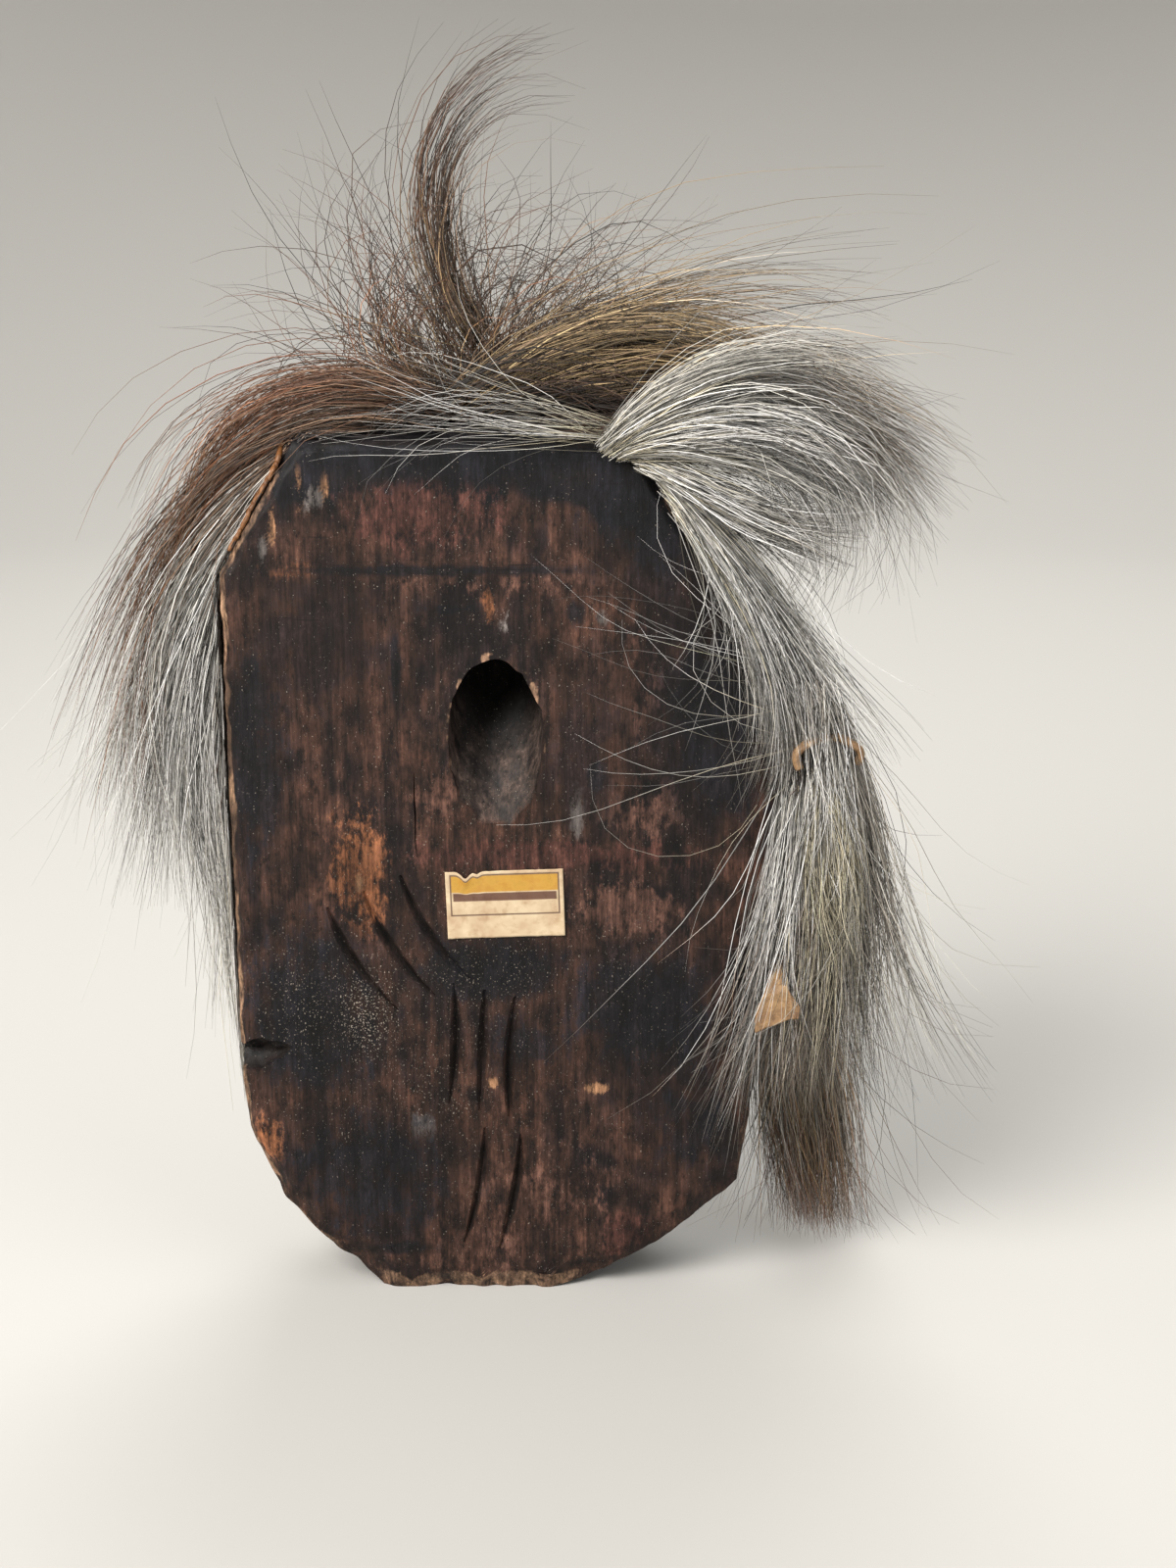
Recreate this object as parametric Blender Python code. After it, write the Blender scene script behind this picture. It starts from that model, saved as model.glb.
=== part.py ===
"""A wooden wall mask with a flat back, a socket for a wall peg and goat hair round its rim.

The frame is in metres. +X points to the right of somebody who looks at the flat back,
+Y points out of the carved face and +Z is up. The origin is on the flat underside,
midway between the back and the front of the chin.
"""

import math

import bmesh
import bpy
import numpy as np

# The block
BLOCK_HEIGHT = 0.239
BLOCK_WIDTH = 0.154
BACK_DEPTH = 0.030          # from the origin to the flat back
RIM_DEPTH = 0.028           # from the flat back to the front edge of the side walls
FACE_SWELL = 0.034          # how far the cheeks and forehead stand in front of that edge
TOP_RISE = 0.008            # how far the crown rises towards the front
FOOT_REACH = 0.008          # how far the foot widens to the right inside the back edge
SIDE_BEVEL = 0.0022
FOOT_BEVEL = 0.0050
BACK_Y = -BACK_DEPTH

# The socket for the wall peg, bored upwards into the back
SOCKET_DIAMETER = 0.0253
SOCKET_SLOPE = 34.0         # degrees between its axis and the flat back
SOCKET_LENGTH = 0.052       # along the axis, from the flat back to the round end
SOCKET_X = 0.0063
SOCKET_Z = 0.1609           # middle of its mouth

# The gouged marks and the broken knot. A row of marks has the first one's top as shares of the
# block's width and height, the step to the next one, their number, their heading and bend in
# degrees, and how much more each one bends than the last.
MARK_WIDTH = 0.0034
MARK_DEPTH = 0.0019
MARK_LENGTH = 0.036
MARK_ROWS = ((-0.260, 0.481, 0.065, 0.019, 3, -58.0, 30.0, 0.0),
             (-0.039, 0.389, 0.055, -0.008, 3, -93.0, -16.0, 14.0),
             (0.013, 0.209, 0.065, -0.008, 2, -100.0, -18.0, 0.0))
KNOT_LENGTH = 0.014
KNOT_HEIGHT = 0.009
KNOT_DEPTH = 0.006
KNOT_Z = 0.0715

# The paper label
LABEL_WIDTH = 0.032
LABEL_HEIGHT = 0.019
LABEL_THICKNESS = 0.0003
LABEL_X = 0.0084
LABEL_Z = 0.1160
LABEL_TURN = 1.8            # degrees

# Room that touching pieces keep
GAP = 0.0003

# The back's edges as shares of its width and height, from the foot to the crown
RIGHT_EDGE = ((0.130, 0.0), (0.198, 0.012), (0.333, 0.061), (0.474, 0.137), (0.506, 0.291),
              (0.574, 0.711), (0.574, 0.746), (0.492, 0.818), (0.353, 0.924), (0.275, 1.0))
LEFT_EDGE = ((-0.180, 0.0), (-0.258, 0.048), (-0.358, 0.117), (-0.389, 0.166),
             (-0.415, 0.208), (-0.425, 0.280), (-0.425, 0.862), (-0.370, 0.920), (-0.295, 1.0))

# The face's lines as shares of its height: chin to nose, nose to brow and brow to hairline are alike
FACE_X = 0.006
CHIN_LINE = 0.080
MOUTH_LINE = 0.212
NOSE_LINE = 0.318
EYE_LINE = 0.515
BROW_LINE = 0.605
EYE_SPACING_SHARE = 0.120         # from the face's middle to the middle of an eye
EYE_WIDTH_SHARE = 0.128
NOSE_WIDTH_SHARE = 0.145
MOUTH_WIDTH_SHARE = 0.205

# How finely the block is laid out
ROWS = 50
COLUMNS = 32
SIDE_STEPS = 3

# Hair. Each pelt is a curtain hung from guides, which are single locks. A guide's numbers are
# its root as shares of the block's width and height, its direction in degrees at the root, the
# middle and the tip, and its length as a share of HAIR_LENGTH.
HAIR_LENGTH = 0.130
HAIR_ROWS = 8
LEFT_GUIDES = ((-0.026, 1.025, 150, 212, 262, 0.98), (-0.143, 1.021, 162, 240, 270, 1.02),
               (-0.260, 1.004, 184, 252, 264, 1.15), (-0.351, 0.937, 214, 252, 264, 0.83),
               (-0.403, 0.854, 228, 264, 272, 0.73), (-0.403, 0.745, 240, 266, 278, 0.72),
               (-0.403, 0.603, 246, 268, 290, 0.69))
TOP_GUIDES = ((-0.026, 1.013, 54, 14, -30, 0.92), (0.052, 1.013, 50, -2, -56, 1.02),
              (0.117, 1.013, 40, -6, -56, 0.88))
TUFT_GUIDES = ((0.000, 1.017, 118, 96, 60, 0.65), (0.039, 1.017, 112, 92, 10, 0.75),
               (0.078, 1.017, 100, 70, -20, 0.54))
WHITE_GUIDES = ((0.195, 1.004, 34, 8, -28, 0.75), (0.247, 1.000, 16, -6, -52, 0.72),
                (0.292, 0.996, -6, -20, -52, 0.63), (0.325, 0.983, -28, -40, -52, 0.62),
                (0.351, 0.967, -44, -46, -66, 0.72), (0.370, 0.941, -56, -58, -66, 0.65))
RIGHT_GUIDES = ((0.519, 0.661, -96, -100, -120, 1.03), (0.558, 0.665, -98, -92, -112, 0.95),
                (0.610, 0.669, -90, -88, -104, 0.88), (0.649, 0.678, -72, -86, -96, 0.93),
                (0.682, 0.711, -56, -74, -72, 0.75))
TAIL_GUIDES = ((0.500, 0.410, -86, -82, -80, 0.62), (0.532, 0.423, -64, -76, -84, 0.72),
               (0.571, 0.435, -50, -68, -88, 0.69))

# How far each curtain's middle stands from the flat back at the root and at the tip, and half
# its thickness at the root, the middle and the tip, all as shares of RIM_DEPTH
LEFT_DEPTH = (0.64, 0.64, 0.50, 0.57, 0.14)
TOP_DEPTH = (0.86, 0.86, 0.43, 0.50, 0.14)
TUFT_DEPTH = (0.86, 0.86, 0.36, 0.32, 0.11)
WHITE_DEPTH = (-0.14, -0.14, 0.29, 0.36, 0.14)
RIGHT_DEPTH = (0.29, 0.00, 0.36, 0.43, 0.14)
TAIL_DEPTH = (1.21, 1.21, 0.36, 0.39, 0.14)


def clear_scene():
    for old in list(bpy.data.objects):
        bpy.data.objects.remove(old, do_unlink=True)


def material(name, colour, roughness):
    made = bpy.data.materials.new(name)
    made.use_nodes = True
    shader = made.node_tree.nodes["Principled BSDF"]
    shader.inputs["Base Color"].default_value = (*colour, 1.0)
    shader.inputs["Roughness"].default_value = roughness
    return made


def add_object(name, points, faces, finish=None, cutter=False):
    mesh = bpy.data.meshes.new(name)
    mesh.from_pydata([tuple(p) for p in points], [], faces)
    shape = bmesh.new()
    shape.from_mesh(mesh)
    bmesh.ops.remove_doubles(shape, verts=shape.verts, dist=1e-6)
    bmesh.ops.recalc_face_normals(shape, faces=shape.faces)
    shape.to_mesh(mesh)
    shape.free()
    made = bpy.data.objects.new(name, mesh)
    bpy.context.collection.objects.link(made)
    if cutter:
        made.hide_render = True
        made.display_type = "WIRE"
    else:
        mesh.materials.append(finish)
    return made


def boolean(target, tool, operation="DIFFERENCE"):
    step = target.modifiers.new(tool.name, "BOOLEAN")
    step.operation = operation
    step.object = tool
    step.solver = "EXACT"


def grown(source, amount):
    """A cutter with the shape of another object, swollen along its normals."""
    copy = bpy.data.objects.new(source.name + "_room", source.data)
    bpy.context.collection.objects.link(copy)
    copy.hide_render = True
    copy.display_type = "WIRE"
    swell = copy.modifiers.new("swell", "DISPLACE")
    swell.strength = amount
    swell.mid_level = 0.0
    return copy


def grid_faces(rows, columns, start=0, flip=False):
    """Quads of a grid of points stored row by row."""
    faces = []
    for i in range(rows - 1):
        for j in range(columns - 1):
            a = start + i * columns + j
            quad = (a, a + 1, a + columns + 1, a + columns)
            faces.append(quad[::-1] if flip else quad)
    return faces


def spread(count, focuses, width, strength):
    """Places from 0 to 1 that crowd together near each focus."""
    fine = np.linspace(0.0, 1.0, 801)
    density = np.ones_like(fine)
    for focus in focuses:
        density += strength * np.exp(-(((fine - focus) / width) ** 2))
    total = np.concatenate(([0.0], np.cumsum((density[1:] + density[:-1]) / 2)))
    return np.interp(np.linspace(0.0, total[-1], count), total, fine)


def edge_x(edge, share):
    points = np.array(edge)
    return np.interp(share, points[:, 1], points[:, 0]) * BLOCK_WIDTH


def hump(x, z, centre_x, centre_z, wide, high):
    return np.exp(-(((x - centre_x) / wide) ** 2) - ((z - centre_z) / high) ** 2)


def smooth(value, low, high):
    share = np.clip((value - low) / (high - low), 0.0, 1.0)
    return share * share * (3.0 - 2.0 * share)


def face_relief(x, z):
    """Height of the face's features over the plain swell, as a share of the block's height.

    x and z are shares of the block's height too, x from the face's middle.
    """
    side = np.abs(x)
    brow_z = BROW_LINE - 1.6 * (side - EYE_SPACING_SHARE) ** 2
    relief = 0.020 * hump(side, z, EYE_SPACING_SHARE, brow_z, 0.105, 0.026)
    relief = relief - 0.040 * hump(side, z, EYE_SPACING_SHARE, EYE_LINE + 0.012, 0.078, 0.052)
    ball = 1.0 - ((side - EYE_SPACING_SHARE) / (EYE_WIDTH_SHARE / 2)) ** 2 - ((z - EYE_LINE) / 0.044) ** 2
    relief = relief + 0.030 * np.sqrt(np.clip(ball, 0.0, 1.0))
    lid_z = EYE_LINE - 0.014 + 3.2 * (side - EYE_SPACING_SHARE) ** 2
    lid = np.clip(1.0 - ((side - EYE_SPACING_SHARE) / (EYE_WIDTH_SHARE / 2)) ** 2, 0.0, 1.0)
    relief = relief - 0.010 * lid * np.exp(-(((z - lid_z) / 0.008) ** 2))
    fall = smooth(z, NOSE_LINE - 0.004, NOSE_LINE + 0.020)
    climb = np.clip((BROW_LINE - z) / (BROW_LINE - NOSE_LINE), 0.0, 1.0)
    narrow = 0.026 + 0.020 * climb ** 2
    bridge = 0.012 * smooth(z, BROW_LINE + 0.06, BROW_LINE - 0.02) + 0.068 * climb ** 1.2
    relief = relief + bridge * fall * np.exp(-((side / narrow) ** 2))
    wing = hump(side, z, NOSE_WIDTH_SHARE * 0.36, NOSE_LINE + 0.030, 0.022, 0.022)
    relief = relief + 0.022 * wing * fall
    mouth_z = MOUTH_LINE + 0.45 * side ** 2
    reach = np.clip(1.0 - (side / (MOUTH_WIDTH_SHARE / 2)) ** 2, 0.0, 1.0)
    relief = relief + 0.020 * reach * np.exp(-(((z - mouth_z - 0.022) / 0.018) ** 2))
    relief = relief + 0.024 * reach * np.exp(-(((z - mouth_z + 0.024) / 0.019) ** 2))
    relief = relief - 0.014 * np.sqrt(reach) * np.exp(-(((z - mouth_z) / 0.008) ** 2))
    relief = relief + 0.026 * hump(side, z, 0.0, CHIN_LINE, 0.082, 0.048)
    return relief + 0.020 * hump(side, z, 0.165, NOSE_LINE + 0.06, 0.075, 0.085)


def front_y(across, up, x):
    """The face's y, from the shares across and up the block and the real x."""
    swell_across = np.clip(1.0 - np.abs(2.0 * across - 1.0) ** 2.6, 0.0, 1.0) ** 0.58
    foot = 0.70 + 0.30 * smooth(up, 0.0, 0.30)
    crown = np.clip(1.0 - np.clip((up - 0.60) / 0.40, 0.0, 1.0) ** 2.6, 0.0, 1.0) ** 0.55
    swell = FACE_SWELL * swell_across * foot * crown
    relief = face_relief((x - FACE_X) / BLOCK_HEIGHT, up) * BLOCK_HEIGHT
    return BACK_Y + RIM_DEPTH + swell + relief * smooth(swell_across * crown, 0.0, 0.75)


def block_point(across, up, y):
    """A point of the block's skin at a share across, a share up and a depth."""
    deep = np.clip((y - BACK_Y) / RIM_DEPTH, 0.0, 1.0)
    left = edge_x(LEFT_EDGE, up)
    right = edge_x(RIGHT_EDGE, up) + FOOT_REACH * deep * (1.0 - smooth(up, 0.0, 0.12))
    x = left + across * (right - left)
    z = up * BLOCK_HEIGHT + TOP_RISE * np.sin(deep * math.pi / 2) * smooth(up, 0.80, 1.0)
    return np.stack([x, y, z], axis=-1)


def wood_block(finish):
    """The block, from a flat back, four walls and a face, each a grid or one flat side."""
    ups = spread(ROWS + 1, (EYE_LINE, MOUTH_LINE, NOSE_LINE), 0.05, 1.6)
    acrosses = spread(COLUMNS + 1, (0.22, 0.47, 0.72), 0.08, 0.7)
    walls = np.linspace(BACK_Y + SIDE_BEVEL, BACK_Y + RIM_DEPTH, SIDE_STEPS + 1)
    points, faces = [], []

    def patch(grid):
        rows, columns = grid.shape[:2]
        faces.extend(grid_faces(rows, columns, len(points)))
        points.extend(grid.reshape(-1, 3))

    up, across = np.meshgrid(ups, acrosses, indexing="ij")
    flat = block_point(across, up, np.full_like(up, BACK_Y + RIM_DEPTH))
    patch(block_point(across, up, front_y(across, up, flat[..., 0])))
    for side in (0.0, 1.0):
        up, wall = np.meshgrid(ups, walls, indexing="ij")
        patch(block_point(np.full_like(up, side), up, wall))
    across, wall = np.meshgrid(acrosses, walls, indexing="ij")
    patch(block_point(across, np.ones_like(across), wall))

    # The underside is one flat side, closed by the chin's edge
    foot_back = block_point(acrosses, np.zeros_like(acrosses), np.full_like(acrosses, walls[0]))
    foot_flat = block_point(acrosses, np.zeros_like(acrosses), np.full_like(acrosses, walls[-1]))
    foot_front = foot_flat.copy()
    foot_front[:, 1] = front_y(acrosses, np.zeros_like(acrosses), foot_flat[:, 0])
    left_wall = block_point(np.zeros(SIDE_STEPS + 1), np.zeros(SIDE_STEPS + 1), walls)
    right_wall = block_point(np.ones(SIDE_STEPS + 1), np.zeros(SIDE_STEPS + 1), walls)
    foot = np.concatenate([foot_back[:-1], right_wall[:-1], foot_front[:0:-1], left_wall[:0:-1]])
    faces.append(tuple(range(len(points), len(points) + len(foot))))
    points.extend(foot)

    # The back is one flat side inside a worn bevel
    rim_left = block_point(np.zeros(ROWS + 1), ups, np.full(ROWS + 1, walls[0]))
    rim_right = block_point(np.ones(ROWS + 1), ups, np.full(ROWS + 1, walls[0]))
    rim_top = block_point(acrosses, np.ones(COLUMNS + 1), np.full(COLUMNS + 1, walls[0]))
    rim_foot = foot_back
    rim = np.concatenate([rim_foot[:-1], rim_right[:-1], rim_top[:0:-1], rim_left[:0:-1]])
    left = edge_x(LEFT_EDGE, rim[:, 2] / BLOCK_HEIGHT)
    right = edge_x(RIGHT_EDGE, rim[:, 2] / BLOCK_HEIGHT)
    middle = (left + right) / 2
    back = rim.copy()
    back[:, 0] = middle + (rim[:, 0] - middle) * (1.0 - 2.0 * SIDE_BEVEL / (right - left))
    back[:, 1] = BACK_Y
    back[:, 2] = FOOT_BEVEL + rim[:, 2] * (1.0 - (FOOT_BEVEL + SIDE_BEVEL / 2) / BLOCK_HEIGHT)
    start, count = len(points), len(rim)
    points.extend(rim)
    points.extend(back)
    for i in range(count):
        j = (i + 1) % count
        faces.append((start + i, start + j, start + count + j, start + count + i))
    faces.append(tuple(range(start + count, start + 2 * count)))
    return add_object("wood_block", points, faces, finish)


def turned(name, profile, sides, axis, origin):
    """A cutter turned about an axis, from pairs of radius and distance along it."""
    axis = np.array(axis) / np.linalg.norm(axis)
    first = np.cross(axis, (1.0, 0.0, 0.0))
    first = first / np.linalg.norm(first)
    second = np.cross(axis, first)
    points, faces = [], []
    for radius, along in profile:
        for k in range(sides):
            angle = 2.0 * math.pi * k / sides
            arm = first * math.cos(angle) + second * math.sin(angle)
            points.append(np.array(origin) + axis * along + arm * radius)
    rings = len(profile)
    for i in range(rings - 1):
        for k in range(sides):
            n = (k + 1) % sides
            faces.append((i * sides + k, i * sides + n, (i + 1) * sides + n, (i + 1) * sides + k))
    faces.append(tuple(range(sides)))
    faces.append(tuple(range((rings - 1) * sides, rings * sides)))
    return add_object(name, points, faces, cutter=True)


def peg_socket():
    radius = SOCKET_DIAMETER / 2
    slope = math.radians(SOCKET_SLOPE)
    run_out = 2.5 * radius / math.tan(slope)
    round_end = [(radius * math.cos(t), SOCKET_LENGTH - radius * 0.5 * (1.0 - math.sin(t)))
                 for t in np.radians((0, 35, 65))]
    profile = [(radius, -run_out)] + round_end
    axis = (0.0, math.sin(slope), math.cos(slope))
    return turned("socket_cutter", profile, 28, axis, (SOCKET_X, BACK_Y, SOCKET_Z))


def gouge(name, start, heading, bend):
    """A V-shaped mark in the back that follows an arc and tapers at both ends."""
    steps = 7
    points, faces = [], []
    x, z = start
    for i in range(steps):
        share = i / (steps - 1)
        angle = math.radians(heading + bend * (share - 0.5))
        half = MARK_WIDTH / 2 * (0.12 + 0.88 * math.sin(math.pi * min(1.0, 0.06 + share * 0.9)) ** 0.7)
        deep = MARK_DEPTH * half / (MARK_WIDTH / 2)
        side = np.array((-math.sin(angle), 0.0, math.cos(angle)))
        centre = np.array((x, BACK_Y, z))
        points.append(centre + side * half * 1.5 + np.array((0.0, -deep * 0.5, 0.0)))
        points.append(centre - side * half * 1.5 + np.array((0.0, -deep * 0.5, 0.0)))
        points.append(centre + np.array((0.0, deep, 0.0)))
        x += math.cos(angle) * MARK_LENGTH / (steps - 1)
        z += math.sin(angle) * MARK_LENGTH / (steps - 1)
    for i in range(steps - 1):
        for k in range(3):
            n = (k + 1) % 3
            faces.append((3 * i + k, 3 * i + n, 3 * i + 3 + n, 3 * i + 3 + k))
    faces.append((0, 1, 2))
    faces.append((3 * steps - 3, 3 * steps - 2, 3 * steps - 1))
    return add_object(name, points, faces, cutter=True)


def gouged_marks():
    """Rows of plain strokes, which taper at both ends."""
    marks = []
    for row, (x, z, step_x, step_z, count, heading, bend, more) in enumerate(MARK_ROWS):
        for k in range(count):
            start = ((x + step_x * k) * BLOCK_WIDTH, (z + step_z * k) * BLOCK_HEIGHT)
            marks.append(gouge(f"mark_cutter_{row}_{k}", start, heading, bend + more * k))
    return marks


def broken_knot():
    """A rough bite out of the left edge where a knot broke away."""
    x = edge_x(LEFT_EDGE, KNOT_Z / BLOCK_HEIGHT)
    points, faces = [], []
    for i, (share, thick) in enumerate(((-0.25, 1.0), (0.35, 0.9), (0.8, 0.6), (1.05, 0.15))):
        for k in range(6):
            angle = 2.0 * math.pi * k / 6 + 0.3 * i
            points.append((x + share * KNOT_LENGTH,
                           BACK_Y + KNOT_DEPTH * thick * math.cos(angle),
                           KNOT_Z + 0.002 * share + KNOT_HEIGHT / 2 * thick * math.sin(angle)))
    for i in range(3):
        for k in range(6):
            n = (k + 1) % 6
            faces.append((6 * i + k, 6 * i + n, 6 * i + 6 + n, 6 * i + 6 + k))
    faces.append(tuple(range(6)))
    faces.append(tuple(range(18, 24)))
    return add_object("knot_cutter", points, faces, cutter=True)


def paper_label(finish):
    """A flat label with a small tear in its upper edge, turned a little on the back."""
    w, h = LABEL_WIDTH / 2, LABEL_HEIGHT / 2
    tear = LABEL_WIDTH * 0.05
    outline = ((-w, -h), (w, -h), (w, h), (-w + 4 * tear, h), (-w + 3 * tear, h - tear),
               (-w + 2 * tear, h), (-w, h))
    turn = math.radians(LABEL_TURN)
    points = []
    for y in (BACK_Y - GAP, BACK_Y - GAP - LABEL_THICKNESS):
        for a, b in outline:
            points.append((LABEL_X + a * math.cos(turn) - b * math.sin(turn), y,
                           LABEL_Z + a * math.sin(turn) + b * math.cos(turn)))
    n = len(outline)
    faces = [tuple(range(n)), tuple(range(n, 2 * n))]
    faces += [(i, (i + 1) % n, n + (i + 1) % n, n + i) for i in range(n)]
    return add_object("paper_label", points, faces, finish)


def curtain(name, guides, depth, locks, finish=None, cutter=False):
    """A mass of hair: a lens-thick curtain whose lower edge ends in pointed locks.

    guides and depth hold the numbers that are explained at the top.
    Each lock has four columns: its two valleys are thin and short, its ridge thick and long.
    """
    rows = HAIR_ROWS
    table = np.array(guides, float) * (BLOCK_WIDTH, BLOCK_HEIGHT, 1.0, 1.0, 1.0, HAIR_LENGTH)
    root_in, tip_in, half_root, half_middle, half_tip = (share * RIM_DEPTH for share in depth)
    count = 4 * locks + 1
    across = np.linspace(0.0, 1.0, count)
    knots = np.linspace(0.0, 1.0, len(guides))
    x0, z0, first, middle, last, length = (np.interp(across, knots, c)[:, None] for c in table.T)
    ridge = np.sin(math.pi * ((across * locks) % 1.0))[:, None]
    lock = np.floor(np.clip(across * locks, 0, locks - 0.5))[:, None]
    length = length * (0.84 + 0.16 * ridge) * (1.0 + 0.04 * np.sin(2.3 * lock + 1.0))
    along = np.linspace(0.0, 1.0, rows + 1)[None, :]
    half_step = (along[:, 1:] + along[:, :-1]) / 2
    angle = np.radians((1 - half_step) ** 2 * first + 2 * half_step * (1 - half_step) * middle
                       + half_step ** 2 * last)
    zero = np.zeros((count, 1))
    x = x0 + np.concatenate([zero, np.cumsum(np.cos(angle), axis=1)], axis=1) * length / rows
    z = z0 + np.concatenate([zero, np.cumsum(np.sin(angle), axis=1)], axis=1) * length / rows
    y = BACK_Y + root_in + (tip_in - root_in) * along + zero
    half = np.interp(along, (0.0, 0.4, 1.0), (half_root, half_middle, half_tip))
    half = half * (0.55 + 0.45 * ridge * (0.4 + 0.6 * along) + 0.45 * (1.0 - along) * 0.6)
    sheets = [np.stack([x, y + sign * half, z], axis=-1) for sign in (-1.0, 1.0)]
    points = np.concatenate([s.reshape(-1, 3) for s in sheets])
    columns = rows + 1
    faces = grid_faces(count, columns) + grid_faces(count, columns, count * columns, flip=True)
    border = [j for j in range(columns)]
    border += [i * columns + rows for i in range(1, count)]
    border += [(count - 1) * columns + j for j in range(rows - 1, -1, -1)]
    border += [i * columns for i in range(count - 2, 0, -1)]
    far = count * columns
    for a, b in zip(border, border[1:] + border[:1]):
        faces.append((a, b, far + b, far + a))
    return add_object(name, points, faces, finish, cutter)


def pelts(block):
    """The five strips of pelt, each cut back from the block and from the pelts beside it."""
    brown = material("brown_hair", (0.25, 0.16, 0.10), 0.6)
    blond = material("blond_hair", (0.40, 0.29, 0.18), 0.6)
    white = material("white_hair", (0.75, 0.74, 0.69), 0.6)
    grey = material("grey_hair", (0.52, 0.50, 0.46), 0.6)
    tail = material("tail_hair", (0.28, 0.20, 0.15), 0.6)
    left = curtain("pelt_left", LEFT_GUIDES, LEFT_DEPTH, 7, brown)
    top = curtain("pelt_top", TOP_GUIDES, TOP_DEPTH, 5, blond)
    tuft = curtain("tuft_join", TUFT_GUIDES, TUFT_DEPTH, 3, cutter=True)
    fan = curtain("pelt_white", WHITE_GUIDES, WHITE_DEPTH, 6, white)
    side = curtain("pelt_right", RIGHT_GUIDES, RIGHT_DEPTH, 6, grey)
    low = curtain("pelt_tail", TAIL_GUIDES, TAIL_DEPTH, 3, tail)
    boolean(top, tuft, "UNION")
    for under, over in ((top, left), (side, fan)):
        boolean(under, grown(over, 2 * GAP))
    room = grown(block, 2 * GAP)
    for pelt in (left, top, fan, side, low):
        boolean(pelt, room)


def main():
    clear_scene()
    wood = material("dark_wood", (0.10, 0.06, 0.045), 0.6)
    paper = material("label_paper", (0.85, 0.74, 0.50), 0.8)
    block = wood_block(wood)
    pelts(block)
    for tool in [peg_socket(), broken_knot()] + gouged_marks():
        boolean(block, tool)
    paper_label(paper)


main()
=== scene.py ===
# %% [markdown]
# # A wooden wall mask, seen from behind
#
# The object is a block of old softwood with a face carved on one side and a flat back on the
# other. Strips of long-haired goat pelt are fixed round its rim. This file builds the looks
# on top of a frame of plain solids, one cell at a time.

# %% Load the fixed frame
import math

import bmesh
import bpy
import numpy as np
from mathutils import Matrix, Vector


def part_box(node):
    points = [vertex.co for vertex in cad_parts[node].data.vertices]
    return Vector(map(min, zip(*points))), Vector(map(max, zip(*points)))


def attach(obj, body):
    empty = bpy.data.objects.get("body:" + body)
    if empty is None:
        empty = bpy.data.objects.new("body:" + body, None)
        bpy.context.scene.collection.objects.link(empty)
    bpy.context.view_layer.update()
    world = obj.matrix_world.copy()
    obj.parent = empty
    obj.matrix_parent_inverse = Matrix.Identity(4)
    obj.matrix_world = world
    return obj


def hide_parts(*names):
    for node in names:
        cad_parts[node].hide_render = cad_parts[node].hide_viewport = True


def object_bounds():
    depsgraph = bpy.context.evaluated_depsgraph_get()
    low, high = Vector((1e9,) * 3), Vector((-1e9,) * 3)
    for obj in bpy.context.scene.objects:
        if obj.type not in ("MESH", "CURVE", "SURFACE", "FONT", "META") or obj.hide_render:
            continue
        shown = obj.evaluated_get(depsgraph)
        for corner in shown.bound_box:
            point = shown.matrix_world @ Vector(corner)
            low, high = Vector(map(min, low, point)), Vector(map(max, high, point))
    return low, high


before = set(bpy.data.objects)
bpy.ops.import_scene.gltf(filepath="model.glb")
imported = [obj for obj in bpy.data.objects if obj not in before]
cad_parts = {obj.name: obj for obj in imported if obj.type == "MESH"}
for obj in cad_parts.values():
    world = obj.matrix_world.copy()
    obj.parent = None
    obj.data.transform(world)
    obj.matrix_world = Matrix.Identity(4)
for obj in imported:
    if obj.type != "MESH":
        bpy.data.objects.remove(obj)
CAD_LOW, CAD_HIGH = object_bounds()
block_low, block_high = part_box("wood_block")
BACK_Y = block_low.y
print("flat back at y =", round(BACK_Y, 4), "and crown at z =", round(block_high.z, 4))

# %% [markdown]
# ## Camera
#
# The photograph looks slightly down on the back from a little over half a metre, with a lens
# close to a phone's double zoom. A camera could be aimed with a constraint, but a plain tilt is
# easier to read and to change.

# %% Camera
CAMERA_LENS = 48.0          # mm, on a 36 mm sensor along the picture's long side
CAMERA_TILT = 15.0          # degrees below the horizon
CAMERA_X = 0.0309
CAMERA_BACK = 0.5409        # from the lens to the flat back
CAMERA_HEIGHT = 0.2946

camera_data = bpy.data.cameras.new("camera")
camera_data.lens = CAMERA_LENS
camera_data.sensor_width = 36.0
camera_data.clip_start = 0.01
camera = bpy.data.objects.new("camera", camera_data)
camera.location = (CAMERA_X, BACK_Y - CAMERA_BACK, CAMERA_HEIGHT)
camera.rotation_euler = (math.radians(90.0 - CAMERA_TILT), 0.0, 0.0)
bpy.context.collection.objects.link(camera)
bpy.context.scene.camera = camera
print("camera at", tuple(round(c, 3) for c in camera.location))

# %% [markdown]
# ## Helpers for meshes, noise and materials
#
# Every new piece is a surface: a function of two parameters, worked out for a whole grid at
# once. The grid becomes quads, and borders that meet are merged. Noise is worked out the same
# way, so that a chip or a stain sits at the same spot on every run.

# %% Mesh helpers
def triple(first, second, third):
    """Three values or arrays as one array of triples."""
    return np.stack(np.broadcast_arrays(first, second, third), axis=-1)


def pairs(first, second):
    """Every value of the first row with every value of the second, as two grids."""
    return np.meshgrid(first, second, indexing="ij")


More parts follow.
